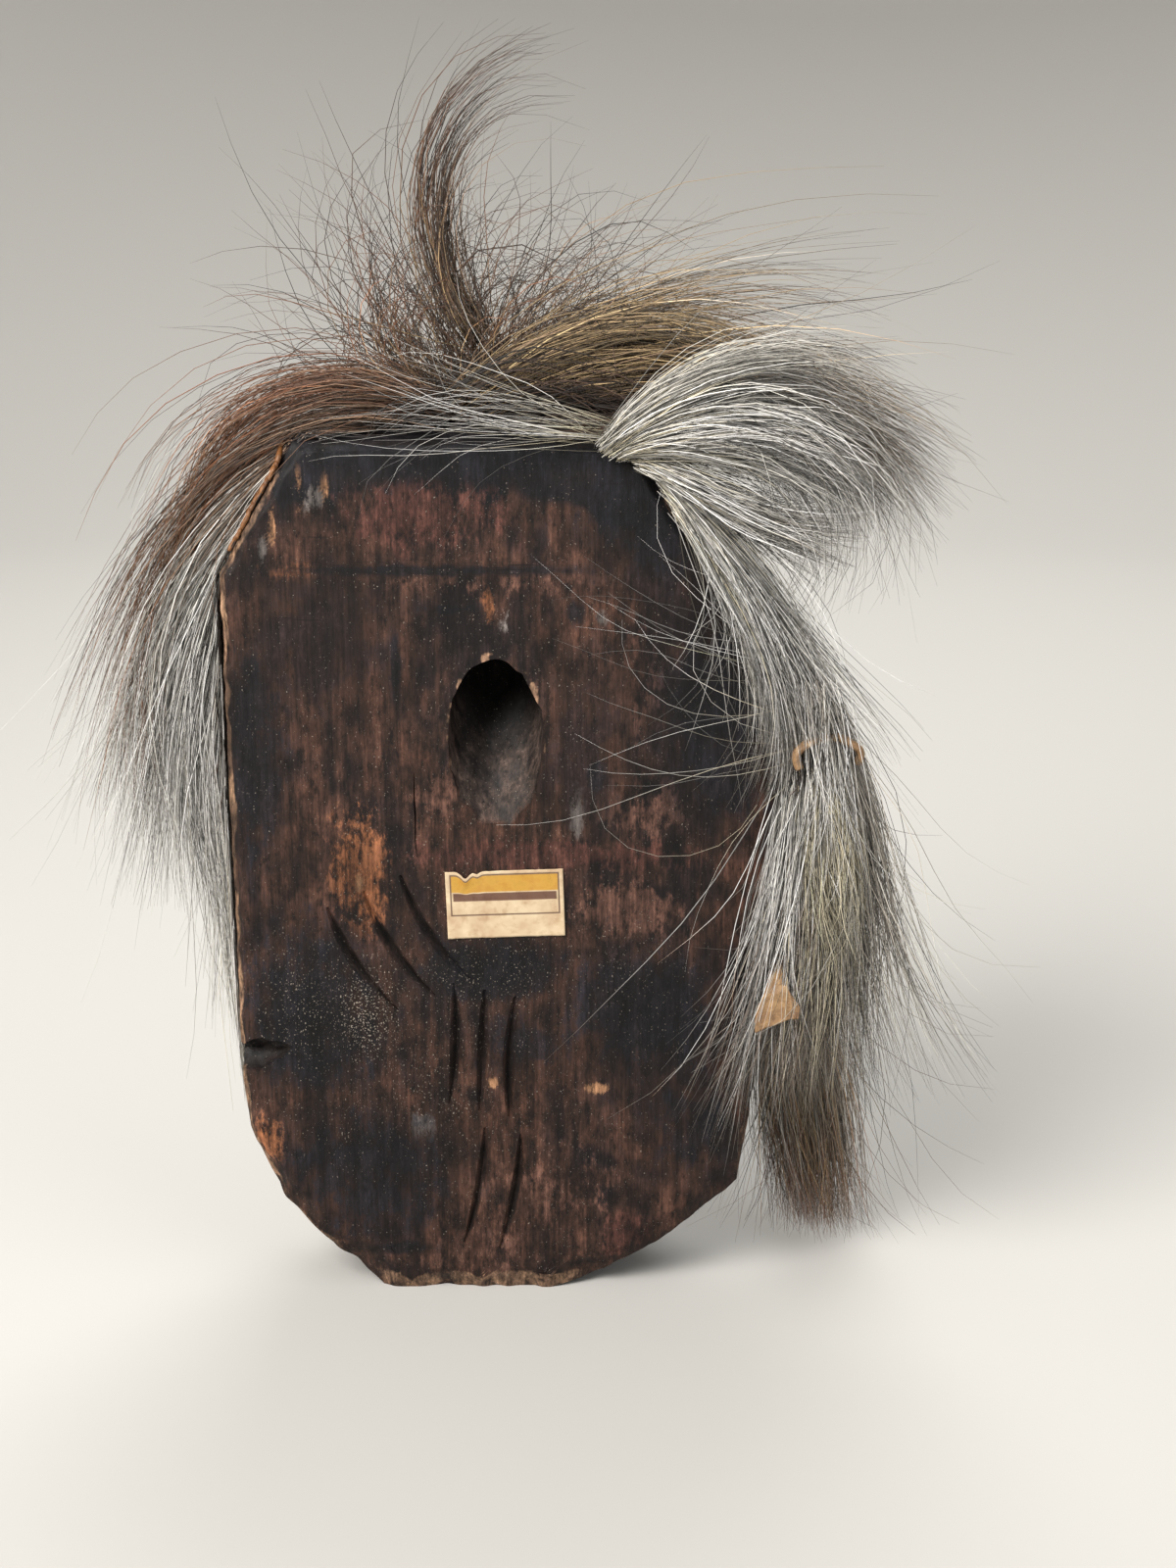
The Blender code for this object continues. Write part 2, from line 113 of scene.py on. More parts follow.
def surface(grid):
    """Points and quads of a surface from its grid of points."""
    rows, columns = grid.shape[:2]
    i, j = pairs(np.arange(rows - 1), np.arange(columns - 1))
    a = i * columns + j
    quads = np.stack([a, a + 1, a + columns + 1, a + columns], axis=-1)
    return grid.reshape(-1, 3), quads.reshape(-1, 4)


def joined(parts):
    """Points and faces of several surfaces as one pair."""
    starts = np.cumsum([0] + [len(points) for points, _ in parts])
    faces = [faces + start for (_, faces), start in zip(parts, starts)]
    return np.concatenate([points for points, _ in parts]), np.concatenate(faces)


def mesh_object(name, points, faces):
    """An object at the origin from an array of points and an array of equal-sided faces."""
    points = np.asarray(points, np.float32).reshape(-1, 3)
    faces = np.asarray(faces, np.int32)
    mesh = bpy.data.meshes.new(name)
    mesh.vertices.add(len(points))
    mesh.vertices.foreach_set("co", points.ravel())
    mesh.loops.add(faces.size)
    mesh.loops.foreach_set("vertex_index", faces.ravel())
    mesh.polygons.add(len(faces))
    mesh.polygons.foreach_set("loop_start", np.arange(len(faces), dtype=np.int32) * faces.shape[1])
    mesh.polygons.foreach_set("use_smooth", np.ones(len(faces), bool))
    mesh.update(calc_edges=True)
    mesh.validate()
    made = bpy.data.objects.new(name, mesh)
    bpy.context.collection.objects.link(made)
    return made


def shell_object(name, outer, inner):
    """A sheet from its outer and inner grids and a strip round their borders, not yet merged."""
    def ring(grid):
        return np.concatenate([grid[0], grid[1:, -1], grid[-1, -2::-1], grid[-2::-1, 0]])
    strip = np.stack([ring(outer), ring(inner)])
    return mesh_object(name, *joined([surface(outer), surface(inner), surface(strip)]))


def close_up(made, distance=2e-6):
    """Merges borders that meet and turns all faces outwards."""
    shape = bmesh.new()
    shape.from_mesh(made.data)
    bmesh.ops.remove_doubles(shape, verts=shape.verts, dist=distance)
    bmesh.ops.dissolve_degenerate(shape, edges=shape.edges, dist=distance)
    bmesh.ops.recalc_face_normals(shape, faces=shape.faces)
    shape.to_mesh(made.data)
    shape.free()
    return made


def vertex_array(made, what="co"):
    """The places or, with what="normal", the normals of all vertices as one array."""
    values = np.empty(len(made.data.vertices) * 3, np.float32)
    made.data.vertices.foreach_get(what, values)
    return values.reshape(-1, 3).astype(float)


def paint(made, name, colours, cover=1.0):
    """Stores one colour and one cover value for each vertex, for a material to read."""
    layer = made.data.attributes.new(name, "FLOAT_COLOR", "POINT")
    values = np.ones((len(colours), 4), np.float32)
    values[:, :3] = colours
    values[:, 3] = cover
    layer.data.foreach_set("color", values.ravel())


def finish_piece(made, node, material):
    """Says where a piece belongs and gives it its material."""
    made.data.materials.clear()
    made.data.materials.append(material)
    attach(made, "root")
    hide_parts(node)
    made.data.calc_loop_triangles()
    print(made.name, "has", len(made.data.loop_triangles), "triangles")


# %% Noise and curves
def noise(points, size, seed=0):
    """Smooth random value from -1 to 1: a random number at each corner of a lattice with
    cells of this size, blended between the corners round each point."""
    places = np.asarray(points, float) / size + 31.7 * seed
    cell = np.floor(places).astype(np.int64)
    part = places - cell
    part = part * part * (3.0 - 2.0 * part)
    total = np.zeros(places.shape[:-1])
    for corner in range(8):
        step = np.array([corner & 1, (corner >> 1) & 1, corner >> 2])
        at = (cell + step) * np.array([73856093, 19349663, 83492791])
        number = (at[..., 0] ^ at[..., 1] ^ at[..., 2]) + seed * 7919
        number = (number ^ (number >> 13)) * 1274126177
        number = ((number ^ (number >> 16)) & 0xFFFF) / 32767.5 - 1.0
        weight = np.prod(np.where(step == 1, part, 1.0 - part), axis=-1)
        total = total + weight * number
    return total


def smooth(value, low, high):
    """Rises from 0 at low to 1 at high along an S-shaped curve."""
    share = np.clip((value - low) / (high - low), 0.0, 1.0)
    return share * share * (3.0 - 2.0 * share)


def mix(first, second, share):
    """The first value at share 0, the second at share 1."""
    return first + (second - first) * share


def bell(away, wide):
    """Falls from 1 at the centre along a bell curve."""
    return np.exp(-((away / wide) ** 2))


def ramp(low, middle, high, share):
    """Three values blended one after the other, with the middle one at a share of one half."""
    return mix(mix(low, middle, smooth(share, 0.0, 0.5)), high, smooth(share, 0.5, 1.0))


def hexed(code):
    """The linear colour of a six-digit colour code."""
    values = np.array([int(code[i:i + 2], 16) / 255.0 for i in (0, 2, 4)])
    return np.where(values <= 0.04045, values / 12.92, ((values + 0.055) / 1.055) ** 2.4)


print("noise at the origin:", round(float(noise(np.zeros((1, 3)), 0.01)[0]), 3))


# %% Material helpers
def new_material(name):
    """A new material with its node tree and its surface shader."""
    made = bpy.data.materials.new(name)
    made.use_nodes = True
    tree = made.node_tree
    return made, tree, tree.nodes["Principled BSDF"]


def node(tree, kind, links=(), **settings):
    """Adds a node, sets its properties and links its inputs, each to the output it names."""
    made = tree.nodes.new(kind)
    for key, value in settings.items():
        setattr(made, key, value)
    for target, source in links:
        tree.links.new(source, made.inputs[target])
    return made


def fill(made, values):
    """Sets a node's inputs by name."""
    for name, value in values.items():
        made.inputs[name].default_value = value


def grain_noise(tree, scale, stretch, detail=4.0, rough=0.6):
    """Noise on the object's own coordinates, stretched along the grain, which runs up."""
    place = node(tree, "ShaderNodeTexCoord")
    turned = node(tree, "ShaderNodeMapping", [("Vector", place.outputs["Object"])])
    fill(turned, {"Scale": (1.0, 1.0, stretch)})
    made = node(tree, "ShaderNodeTexNoise", [("Vector", turned.outputs["Vector"])])
    fill(made, {"Scale": scale, "Detail": detail, "Roughness": rough})
    return made.outputs["Fac"]


def ranged(tree, value, low, high, out_low=0.0, out_high=1.0):
    """Stretches a value's range to another one, clamped."""
    made = node(tree, "ShaderNodeMapRange", [("Value", value)])
    fill(made, {"From Min": low, "From Max": high, "To Min": out_low, "To Max": out_high})
    return made.outputs["Result"]


def calculate(tree, operation, first, second):
    """One sum, product or difference of two values, each an output or a number."""
    made = node(tree, "ShaderNodeMath", operation=operation)
    for number, value in enumerate((first, second)):
        if isinstance(value, (int, float)):
            made.inputs[number].default_value = value
        else:
            tree.links.new(value, made.inputs[number])
    return made.outputs["Value"]


def product(tree, *values):
    """All values multiplied."""
    total = values[0]
    for value in values[1:]:
        total = calculate(tree, "MULTIPLY", total, value)
    return total


def bumpy(tree, shader, height, strength, distance):
    """Lets a height tilt the surface's shading."""
    bump = node(tree, "ShaderNodeBump", [("Height", height)])
    fill(bump, {"Strength": strength, "Distance": distance})
    tree.links.new(bump.outputs["Normal"], shader.inputs["Normal"])


def blend(tree, kind, share, first, second):
    """Mixes two colours. Each is an output or a plain colour."""
    made = node(tree, "ShaderNodeMix", data_type="RGBA", blend_type=kind)
    for socket, value in ((made.inputs[0], share), (made.inputs[6], first), (made.inputs[7], second)):
        if isinstance(value, (int, float)):
            socket.default_value = value
        elif isinstance(value, bpy.types.NodeSocket):
            tree.links.new(value, socket)
        else:
            socket.default_value = (*value, 1.0)
    return made.outputs[2]


print("material helpers ready")

# %% [markdown]
# ## Floor and light
#
# The mask stands on a pale floor that curves up into a wall all round, in soft light from the
# upper left. A quarter circle turned round the upright axis joins floor and wall without a
# corner, so no line shows behind the object from any side.

# %% Floor, backdrop and light
FLOOR_RADIUS = 1.5
FLOOR_RINGS = 40
BEND_RADIUS = 1.3
WALL_TOP = 3.0

bend_angle = np.radians(np.linspace(0.0, 90.0, 25))
profile_r = np.concatenate([np.linspace(0.0, FLOOR_RADIUS, FLOOR_RINGS + 1)[:-1],
                            FLOOR_RADIUS + BEND_RADIUS * np.sin(bend_angle),
                            [FLOOR_RADIUS + BEND_RADIUS]])
profile_z = np.concatenate([np.zeros(FLOOR_RINGS), BEND_RADIUS * (1.0 - np.cos(bend_angle)),
                            [WALL_TOP]])
turn = np.linspace(0.0, 2 * math.pi, 97)[:, None]
bowl = triple(profile_r * np.cos(turn), profile_r * np.sin(turn), profile_z)
floor = mesh_object("floor", *surface(bowl))
close_up(floor)
floor.data.flip_normals()

FLOOR_TONE = hexed("acaba8")
pale, tree, shader = new_material("pale_sheet")
fill(shader, {"Base Color": (*FLOOR_TONE, 1.0), "Roughness": 0.85})
floor.data.materials.append(pale)


def soft_light(name, place, target, size, power, colour):
    """A square area light that faces its target."""
    data = bpy.data.lights.new(name, "AREA")
    data.size = size
    data.energy = power
    data.color = colour
    lamp = bpy.data.objects.new(name, data)
    lamp.location = place
    away = np.array(place) - np.array(target)
    flat = math.hypot(away[0], away[1])
    lamp.rotation_euler = (math.atan2(flat, away[2]), 0.0, math.atan2(away[0], -away[1]))
    bpy.context.collection.objects.link(lamp)


soft_light("window", (-0.9, -1.1, 1.3), (0.0, 0.0, 0.12), 1.0, 95.0, (1.0, 0.965, 0.92))
soft_light("room", (1.2, -0.8, 1.0), (0.0, 0.0, 0.12), 1.4, 14.0, (0.94, 0.97, 1.0))
soft_light("behind", (0.2, 1.3, 1.6), (0.0, 0.1, 0.1), 1.3, 42.0, (1.0, 0.98, 0.95))
world = bpy.data.worlds.new("soft_room")
world.use_nodes = True
fill(world.node_tree.nodes["Background"], {"Color": (*hexed("e6e3de"), 1.0), "Strength": 1.35})
bpy.context.scene.view_settings.view_transform = "Standard"
bpy.context.scene.view_settings.exposure = -0.55
bpy.context.scene.world = world
print("floor sheet of", len(floor.data.polygons), "faces")

# %% [markdown]
# ## The block: outline and face
#
# The block is a plank sawn to an uneven outline, with a face carved into its front. A skin over
# three parameters describes all of it: across, up, and deep, from the flat back to the face. The
# outline is a few corners joined by straight saw cuts, given as shares of the width and height.
# The face is a sum of swells and hollows on the classic thirds: chin to nose, nose to brow, brow
# to hairline. It is calm and generic.

# %% Block sizes and outline
BLOCK_HEIGHT = 0.239
BLOCK_WIDTH = 0.154
RIM_DEPTH = 0.028
FACE_SWELL = 0.034
TOP_RISE = 0.008
FOOT_REACH = 0.008
SIDE_BEVEL = 0.0022
FOOT_BEVEL = 0.0050
RIGHT_EDGE = ((0.130, 0.0), (0.198, 0.012), (0.333, 0.061), (0.474, 0.137), (0.506, 0.291),
              (0.574, 0.711), (0.574, 0.746), (0.492, 0.818), (0.353, 0.924), (0.275, 1.0))
LEFT_EDGE = ((-0.180, 0.0), (-0.258, 0.048), (-0.358, 0.117), (-0.389, 0.166),
             (-0.415, 0.208), (-0.425, 0.280), (-0.425, 0.862), (-0.370, 0.920), (-0.295, 1.0))
FACE_X = 0.006
CHIN_LINE = 0.080
MOUTH_LINE = 0.212
NOSE_LINE = 0.318
EYE_LINE = 0.515
BROW_LINE = 0.605
EYE_SPACING_SHARE = 0.120
EYE_WIDTH_SHARE = 0.128
NOSE_WIDTH_SHARE = 0.145
MOUTH_WIDTH_SHARE = 0.205


def edge_x(edge, share):
    """Straight lines between the outline's corners."""
    corners = np.array(edge)
    return np.interp(share, corners[:, 1], corners[:, 0]) * BLOCK_WIDTH


def sides(up):
    """x of the left and the right edge at a share of the height."""
    return edge_x(LEFT_EDGE, up), edge_x(RIGHT_EDGE, up)


def crown_rise(inside):
    """How far the top climbs from the flat back, 0, to the rim's full depth, 1."""
    return TOP_RISE * np.sin(inside * math.pi / 2)


print("block is", BLOCK_WIDTH, "wide and", BLOCK_HEIGHT, "tall")


# %% The face's relief
def hump(x, z, centre_x, centre_z, wide, high):
    """A bell-shaped swell, 1 at its centre."""
    return bell(x - centre_x, wide) * bell(z - centre_z, high)


def face_relief(x, z):
    """Height of the features over the plain swell, all as shares of the block's height: brow
    ridges minus eye hollows, plus lidded balls, a nose that grows towards its tip, two lips
    with a line between them, a chin and two cheeks."""
    side = np.abs(x)
    brow_z = BROW_LINE - 1.6 * (side - EYE_SPACING_SHARE) ** 2
    relief = 0.020 * hump(side, z, EYE_SPACING_SHARE, brow_z, 0.105, 0.026)
    relief = relief - 0.040 * hump(side, z, EYE_SPACING_SHARE, EYE_LINE + 0.012, 0.078, 0.052)
    off = (side - EYE_SPACING_SHARE) / (EYE_WIDTH_SHARE / 2)
    ball = 1.0 - off ** 2 - ((z - EYE_LINE) / 0.044) ** 2
    relief = relief + 0.029 * np.clip(ball, 0.0, 1.0) ** 0.8
    lid_z = EYE_LINE - 0.014 + 3.2 * (side - EYE_SPACING_SHARE) ** 2
    lid = np.clip(1.0 - off ** 2, 0.0, 1.0)
    relief = relief - 0.010 * lid * bell(z - lid_z, 0.008)
    fall = smooth(z, NOSE_LINE - 0.004, NOSE_LINE + 0.020)
    climb = np.clip((BROW_LINE - z) / (BROW_LINE - NOSE_LINE), 0.0, 1.0)
    narrow = 0.026 + 0.020 * climb ** 2
    bridge = 0.012 * smooth(z, BROW_LINE + 0.06, BROW_LINE - 0.02) + 0.068 * climb ** 1.2
    relief = relief + bridge * fall * bell(side, narrow)
    wing = hump(side, z, NOSE_WIDTH_SHARE * 0.36, NOSE_LINE + 0.030, 0.022, 0.022)
    relief = relief + 0.022 * wing * fall
    mouth_z = MOUTH_LINE + 0.45 * side ** 2
    reach = np.clip(1.0 - (side / (MOUTH_WIDTH_SHARE / 2)) ** 2, 0.0, 1.0)
    relief = relief + 0.020 * reach * bell(z - mouth_z - 0.022, 0.018)
    relief = relief + 0.024 * reach * bell(z - mouth_z + 0.024, 0.019)
    relief = relief - 0.014 * np.sqrt(reach) * bell(z - mouth_z, 0.008)
    relief = relief + 0.026 * hump(side, z, 0.0, CHIN_LINE, 0.082, 0.048)
    return relief + 0.020 * hump(side, z, 0.165, NOSE_LINE + 0.06, 0.075, 0.085)


def fine_relief(x, z):
    """The knife's last cuts, small enough to lie on the plain features: a crease over and
    under each lid, rows of short strokes along the brows, two nostrils, the groove over the lip,
    the lips' edges, the folds beside the mouth and the crease over the chin."""
    side = np.abs(x)
    off = (side - EYE_SPACING_SHARE) / (EYE_WIDTH_SHARE / 2)
    over = np.clip(1.15 - off ** 2, 0.0, 1.0)
    crease_z = EYE_LINE + 0.046 - 0.030 * off ** 2
    fine = -0.0060 * over * bell(z - crease_z, 0.0050)
    under_z = EYE_LINE - 0.050 + 0.026 * off ** 2
    fine = fine - 0.0042 * over * bell(z - under_z, 0.0060)
    rim_z = EYE_LINE - 0.014 + 3.2 * (side - EYE_SPACING_SHARE) ** 2
    fine = fine + 0.0040 * over * bell(z - rim_z - 0.010, 0.0050)
    brow_z = BROW_LINE - 1.6 * (side - EYE_SPACING_SHARE) ** 2
    strokes = np.cos(2 * math.pi * (side * 22.0 - (z - brow_z) * 30.0))
    fine = fine + 0.0050 * strokes * hump(side, z, EYE_SPACING_SHARE, brow_z, 0.080, 0.015)
    fine = fine - 0.0130 * hump(side, z, 0.024, NOSE_LINE + 0.004, 0.012, 0.0065)
    fine = fine - 0.0060 * hump(side, z, 0.0, MOUTH_LINE + 0.062, 0.011, 0.026)
    fold_x = 0.070 + 0.30 * (NOSE_LINE + 0.02 - z)
    on_fold = smooth(z, MOUTH_LINE - 0.03, MOUTH_LINE + 0.01) * smooth(z, NOSE_LINE + 0.04, NOSE_LINE)
    fine = fine - 0.0060 * on_fold * bell(side - fold_x, 0.0095)
    reach = np.clip(1.0 - (side / (MOUTH_WIDTH_SHARE / 2)) ** 2, 0.0, 1.0)
    bow = MOUTH_LINE + 0.045 - 0.010 * bell(side, 0.016) - 0.9 * side ** 2
    fine = fine - 0.0040 * reach * bell(z - bow, 0.0050)
    return fine - 0.0070 * hump(side, z, 0.0, MOUTH_LINE - 0.058, 0.050, 0.0120)


def cavity(x, z, reach=0.016):
    """How far a spot lies below its surroundings: the mean relief of eight neighbours on a
    ring, less its own."""
    turn = np.arange(8) * math.pi / 4
    ring = [face_relief(x + reach * math.cos(t), z + reach * math.sin(t)) for t in turn]
    return np.mean(ring, axis=0) - face_relief(x, z)


def front_y(across, up, x):
    """The face's y: a pillow over the outline, higher where the features are."""
    pillow = np.clip(1.0 - np.abs(2.0 * across - 1.0) ** 2.6, 0.0, 1.0) ** 0.58
    foot = 0.70 + 0.30 * smooth(up, 0.0, 0.30)
    crown = np.clip(1.0 - np.clip((up - 0.60) / 0.40, 0.0, 1.0) ** 2.6, 0.0, 1.0) ** 0.55
    swell = FACE_SWELL * pillow * foot * crown
    face_x = (x - FACE_X) / BLOCK_HEIGHT
    relief = (face_relief(face_x, up) + fine_relief(face_x, up)) * BLOCK_HEIGHT
    return BACK_Y + RIM_DEPTH + swell + relief * smooth(pillow * crown, 0.0, 0.75)


print("nose tip at y =", round(float(front_y(0.47, NOSE_LINE + 0.03, FACE_X)), 4))


# %% The block's skin
BEVEL_SHARE = 0.12          # the first share of the depth rounds the worn back edge
SCALLOP_LENGTH = 0.021      # the foot's bevel was cut in bites of about this length


def skin(across, up, deep):
    """A point of the block. Deep runs from the flat back to the face. Over its first share a
    slanting cut takes the back edge off, by more where the noise is high and, along the foot,
    by the arches of a row of knife bites."""
    cut_share = np.clip(deep / BEVEL_SHARE, 0.0, 1.0)
    left, right = sides(up)
    plain_x = left + across * (right - left)
    along = triple(plain_x, 0.0, up * BLOCK_HEIGHT)
    wear = 1.0 + 0.55 * noise(along, 0.011, 3) + 0.35 * noise(along, 0.0035, 4)
    bite = np.abs(np.sin(math.pi * plain_x / SCALLOP_LENGTH + 0.6 * noise(along, 0.03, 5)))
    inset_x = SIDE_BEVEL * wear * (1.0 + 1.1 * smooth(up, 0.15, 0.02)) * (1.0 - cut_share)
    inset_z = FOOT_BEVEL * (0.55 + 0.75 * bite) * (1.0 - cut_share)
    middle, half = (left + right) / 2, (right - left) / 2
    deepest = front_y(across, up, plain_x)
    y = BACK_Y + SIDE_BEVEL * wear * (1.0 + 0.5 * smooth(up, 0.10, 0.0)) * cut_share
    y = y + (deepest - y) * np.clip((deep - BEVEL_SHARE) / (1.0 - BEVEL_SHARE), 0.0, 1.0)
    inside = np.clip((y - BACK_Y) / RIM_DEPTH, 0.0, 1.0)
    reach = FOOT_REACH * inside * (1.0 - smooth(up, 0.0, 0.12)) * across
    x = middle + (plain_x - middle) * (1.0 - inset_x / half) + reach
    z = up * BLOCK_HEIGHT + inset_z * (1.0 - up) - inset_x * 0.5 * up
    z = z + crown_rise(inside) * smooth(up, 0.80, 1.0)
    return triple(x, y, z)


BLOCK_ROWS = 226
BLOCK_COLUMNS = 150
WALL_STEPS = 15
ups = np.linspace(0.0, 1.0, BLOCK_ROWS)
acrosses = np.linspace(0.0, 1.0, BLOCK_COLUMNS)
deeps = np.concatenate([np.linspace(0.0, BEVEL_SHARE, 5)[:-1],
                        np.linspace(BEVEL_SHARE, 1.0, WALL_STEPS - 4)])
up_grid, across_grid = pairs(ups, acrosses)
up_wall, deep_wall = pairs(ups, deeps)
across_cap, deep_cap = pairs(acrosses, deeps)
patches = [skin(across_grid, up_grid, np.zeros_like(up_grid)),
           skin(across_grid, up_grid, np.ones_like(up_grid)),
           skin(np.zeros_like(up_wall), up_wall, deep_wall),
           skin(np.ones_like(up_wall), up_wall, deep_wall),
           skin(across_cap, np.zeros_like(across_cap), deep_cap),
           skin(across_cap, np.ones_like(across_cap), deep_cap)]
block = mesh_object("carved_block", *joined([surface(patch) for patch in patches]))
close_up(block)
print("block skin of", len(block.data.vertices), "points")

# %% [markdown]
# ## Tool marks and dents
#
# A plain skin looks moulded. The real back was sawn and scraped, its walls were cut with a
# knife, and old wood moves. Small shifts along the normals do this: facets on the walls, faint
# hollows along the grain on the back and gouge facets on the face. The foot stays flat.

# %% Tool marks
co = vertex_array(block)
normals = vertex_array(block, "normal")
on_back = smooth(co[:, 1], BACK_Y + 0.0012, BACK_Y + 0.0002)
on_face = smooth(normals[:, 1], 0.15, 0.5)
on_foot = smooth(co[:, 2], 0.004, 0.0015)
on_wall = (1.0 - on_back) * (1.0 - on_face)
stretched = co * (1.0, 1.0, 0.16)
facets = np.abs(noise(co * (1.0, 0.45, 1.0), 0.0085, 11)) - 0.3
gouging = np.abs(noise(co * (1.0, 1.0, 0.55), 0.0060, 12)) - 0.3
grain_lift = noise(stretched, 0.0022, 13) * 0.6 + noise(stretched, 0.0050, 14)
shift = on_wall * 0.00055 * facets + on_face * (0.00042 * gouging + 0.00008 * grain_lift)
shift = shift + on_back * (0.00010 * grain_lift + 0.00016 * noise(co, 0.018, 15) - 0.00012)
co = co + normals * (shift * (1.0 - on_foot))[:, None]
block.data.vertices.foreach_set("co", co.astype(np.float32).ravel())
block.data.update()
print("largest shift", round(float(np.abs(shift).max()) * 1000, 2), "mm")

# %% [markdown]
# ## The socket, the gouged strokes, the knot and the crack
#
# The back was bored at a slope for a wall peg, scratched with a V gouge, and a knot broke out of
# the left edge. Each is cut with a closed tool shape: a tube along a straight or bent path whose
# section changes. A boolean cut keeps the crisp edges that a height map would blur.

# %% Cutting tools
SOCKET_DIAMETER = 0.0253
SOCKET_SLOPE = 34.0
SOCKET_LENGTH = 0.052
SOCKET_DOME = 0.008         # the rounded end
SOCKET_X = 0.0063
SOCKET_Z = 0.1609
MARK_WIDTH = 0.0034
MARK_DEPTH = 0.0019
MARK_LENGTH = 0.036
MARK_STEPS = 40
# Each row of marks: root x and z and the step to the next mark as shares of the block, how
# many, then heading, bend and the growth of the bend in degrees.
MARK_ROWS = ((-0.260, 0.481, 0.065, 0.019, 3, -58.0, 30.0, 0.0),
             (-0.039, 0.389, 0.055, -0.008, 3, -93.0, -16.0, 14.0),
             (0.013, 0.209, 0.065, -0.008, 2, -100.0, -18.0, 0.0))
KNOT_Z = 0.0715
KNOT_LENGTH = 0.014
CRACK_X = -0.0156
CRACK_LOW, CRACK_HIGH = 0.1290, 0.1530


def tube(rings):
    """Points and quads of a closed tube from rings of points, each end drawn to its middle."""
    rings = np.asarray(rings)
    first = np.repeat(rings[:1].mean(axis=1, keepdims=True), rings.shape[1], axis=1)
    last = np.repeat(rings[-1:].mean(axis=1, keepdims=True), rings.shape[1], axis=1)
    rings = np.concatenate([first, rings, last])
    return surface(np.concatenate([rings, rings[:, :1]], axis=1))


def socket_tool():
    """A round bore along its sloping axis, with lengthwise gouge flats and a ragged mouth."""
    slope = math.radians(SOCKET_SLOPE)
    axis = np.array([0.0, math.sin(slope), math.cos(slope)])
    side = np.array([1.0, 0.0, 0.0])
    other = np.cross(axis, side)
    dome = np.radians((20, 40, 60, 78))
    straight = SOCKET_LENGTH - SOCKET_DOME
    along = np.concatenate([np.linspace(-0.050, straight, 58), straight + SOCKET_DOME * np.sin(dome)])
    ends = np.concatenate([np.ones(58), np.cos(dome)])
    turn = np.linspace(0.0, 2 * math.pi, 72, endpoint=False)
    a, t = pairs(along, turn)
    where = triple(np.cos(t) * 0.01, np.sin(t) * 0.01, a * 0.12)
    ragged = noise(where, 0.0032, 21) * 0.00042 + noise(where * 3.0, 0.0032, 22) * 0.00014
    spots = triple(np.cos(t) * 0.012, np.sin(t) * 0.012, a)
    mouth = np.clip(noise(spots, 0.0042, 23) - 0.15, 0.0, 1.0) * 0.0016
    near_rim = bell(a + SOCKET_DIAMETER / 2 * np.sin(t) / math.tan(slope), 0.0035)
    radius = (SOCKET_DIAMETER / 2 + ragged + mouth * near_rim) * ends[:, None]
    centre = np.array([SOCKET_X, BACK_Y, SOCKET_Z]) + axis * a[..., None]
    return centre + radius[..., None] * (side * np.cos(t)[..., None] + other * np.sin(t)[..., None])


def gouge_tool(start, heading, bend, seed):
    """A V section swept along an arc. Its half width swells from a point and back to one."""
    share = np.linspace(0.0, 1.0, MARK_STEPS)
    angle = np.radians(heading + bend * (share - 0.5))
    step = MARK_LENGTH / (MARK_STEPS - 1)
    x = start[0] + np.concatenate([[0], np.cumsum(np.cos(angle[:-1]))]) * step
    z = start[1] + np.concatenate([[0], np.cumsum(np.sin(angle[:-1]))]) * step
    half = MARK_WIDTH / 2 * (0.10 + 0.90 * np.sin(math.pi * np.clip(0.05 + share * 0.9, 0, 1)) ** 0.7)
    where = triple(x, 0.0, z)
    half = half * (1.0 + 0.10 * noise(where, 0.004, seed))
    deep = MARK_DEPTH * half / (MARK_WIDTH / 2)
    profile = np.array([(1.60, -0.6), (1.02, 0.0), (0.42, 0.72), (0.0, 1.0), (-0.30, 0.80),
                        (-1.02, 0.0), (-1.60, -0.6)])
    out = triple(-np.sin(angle), 0.0, np.cos(angle))
    base = triple(x, BACK_Y, z)[:, None]
    rings = base + out[:, None] * (profile[:, 0] * half[:, None])[..., None]
    rings[..., 1] += profile[:, 1] * deep[:, None]
    return rings


def knot_tool():
    """A lumpy wedge that enters the left edge and thins out towards the middle."""
    share = np.linspace(-0.35, 1.05, 22)
    turn = np.linspace(0.0, 2 * math.pi, 28, endpoint=False)
    s, t = pairs(share, turn)
    thick = np.interp(s, (-0.35, 0.35, 0.8, 1.05), (1.0, 0.95, 0.62, 0.10))
    where = triple(s * KNOT_LENGTH, np.cos(t) * 0.005, np.sin(t) * 0.005)
    lump = 1.0 + 0.30 * noise(where, 0.0028, 31) + 0.16 * noise(where, 0.0011, 32)
    x = edge_x(LEFT_EDGE, KNOT_Z / BLOCK_HEIGHT) + s * KNOT_LENGTH
    y = BACK_Y + 0.0056 * thick * lump * np.cos(t)
    z = KNOT_Z + 0.0020 * s + 0.0044 * thick * lump * np.sin(t)
    return triple(x, y, z)


def crack_tool():
    """A thin wedge that wanders a little across the grain."""
    z = np.linspace(CRACK_LOW, CRACK_HIGH, 30)
    share = (z - CRACK_LOW) / (CRACK_HIGH - CRACK_LOW)
    wander = noise(triple(0.0, 0.0, z), 0.006, 41) * 0.0005
    half = 0.00022 * np.sin(math.pi * np.clip(share, 0.02, 0.98)) ** 0.6 + 0.00002
    profile = np.array([(1.0, -0.0008), (0.9, 0.0003), (0.0, 0.0016), (-0.9, 0.0003), (-1.0, -0.0008)])
    x = CRACK_X + wander[:, None] + profile[:, 0] * half[:, None]
    return triple(x, BACK_Y + profile[:, 1], z[:, None])


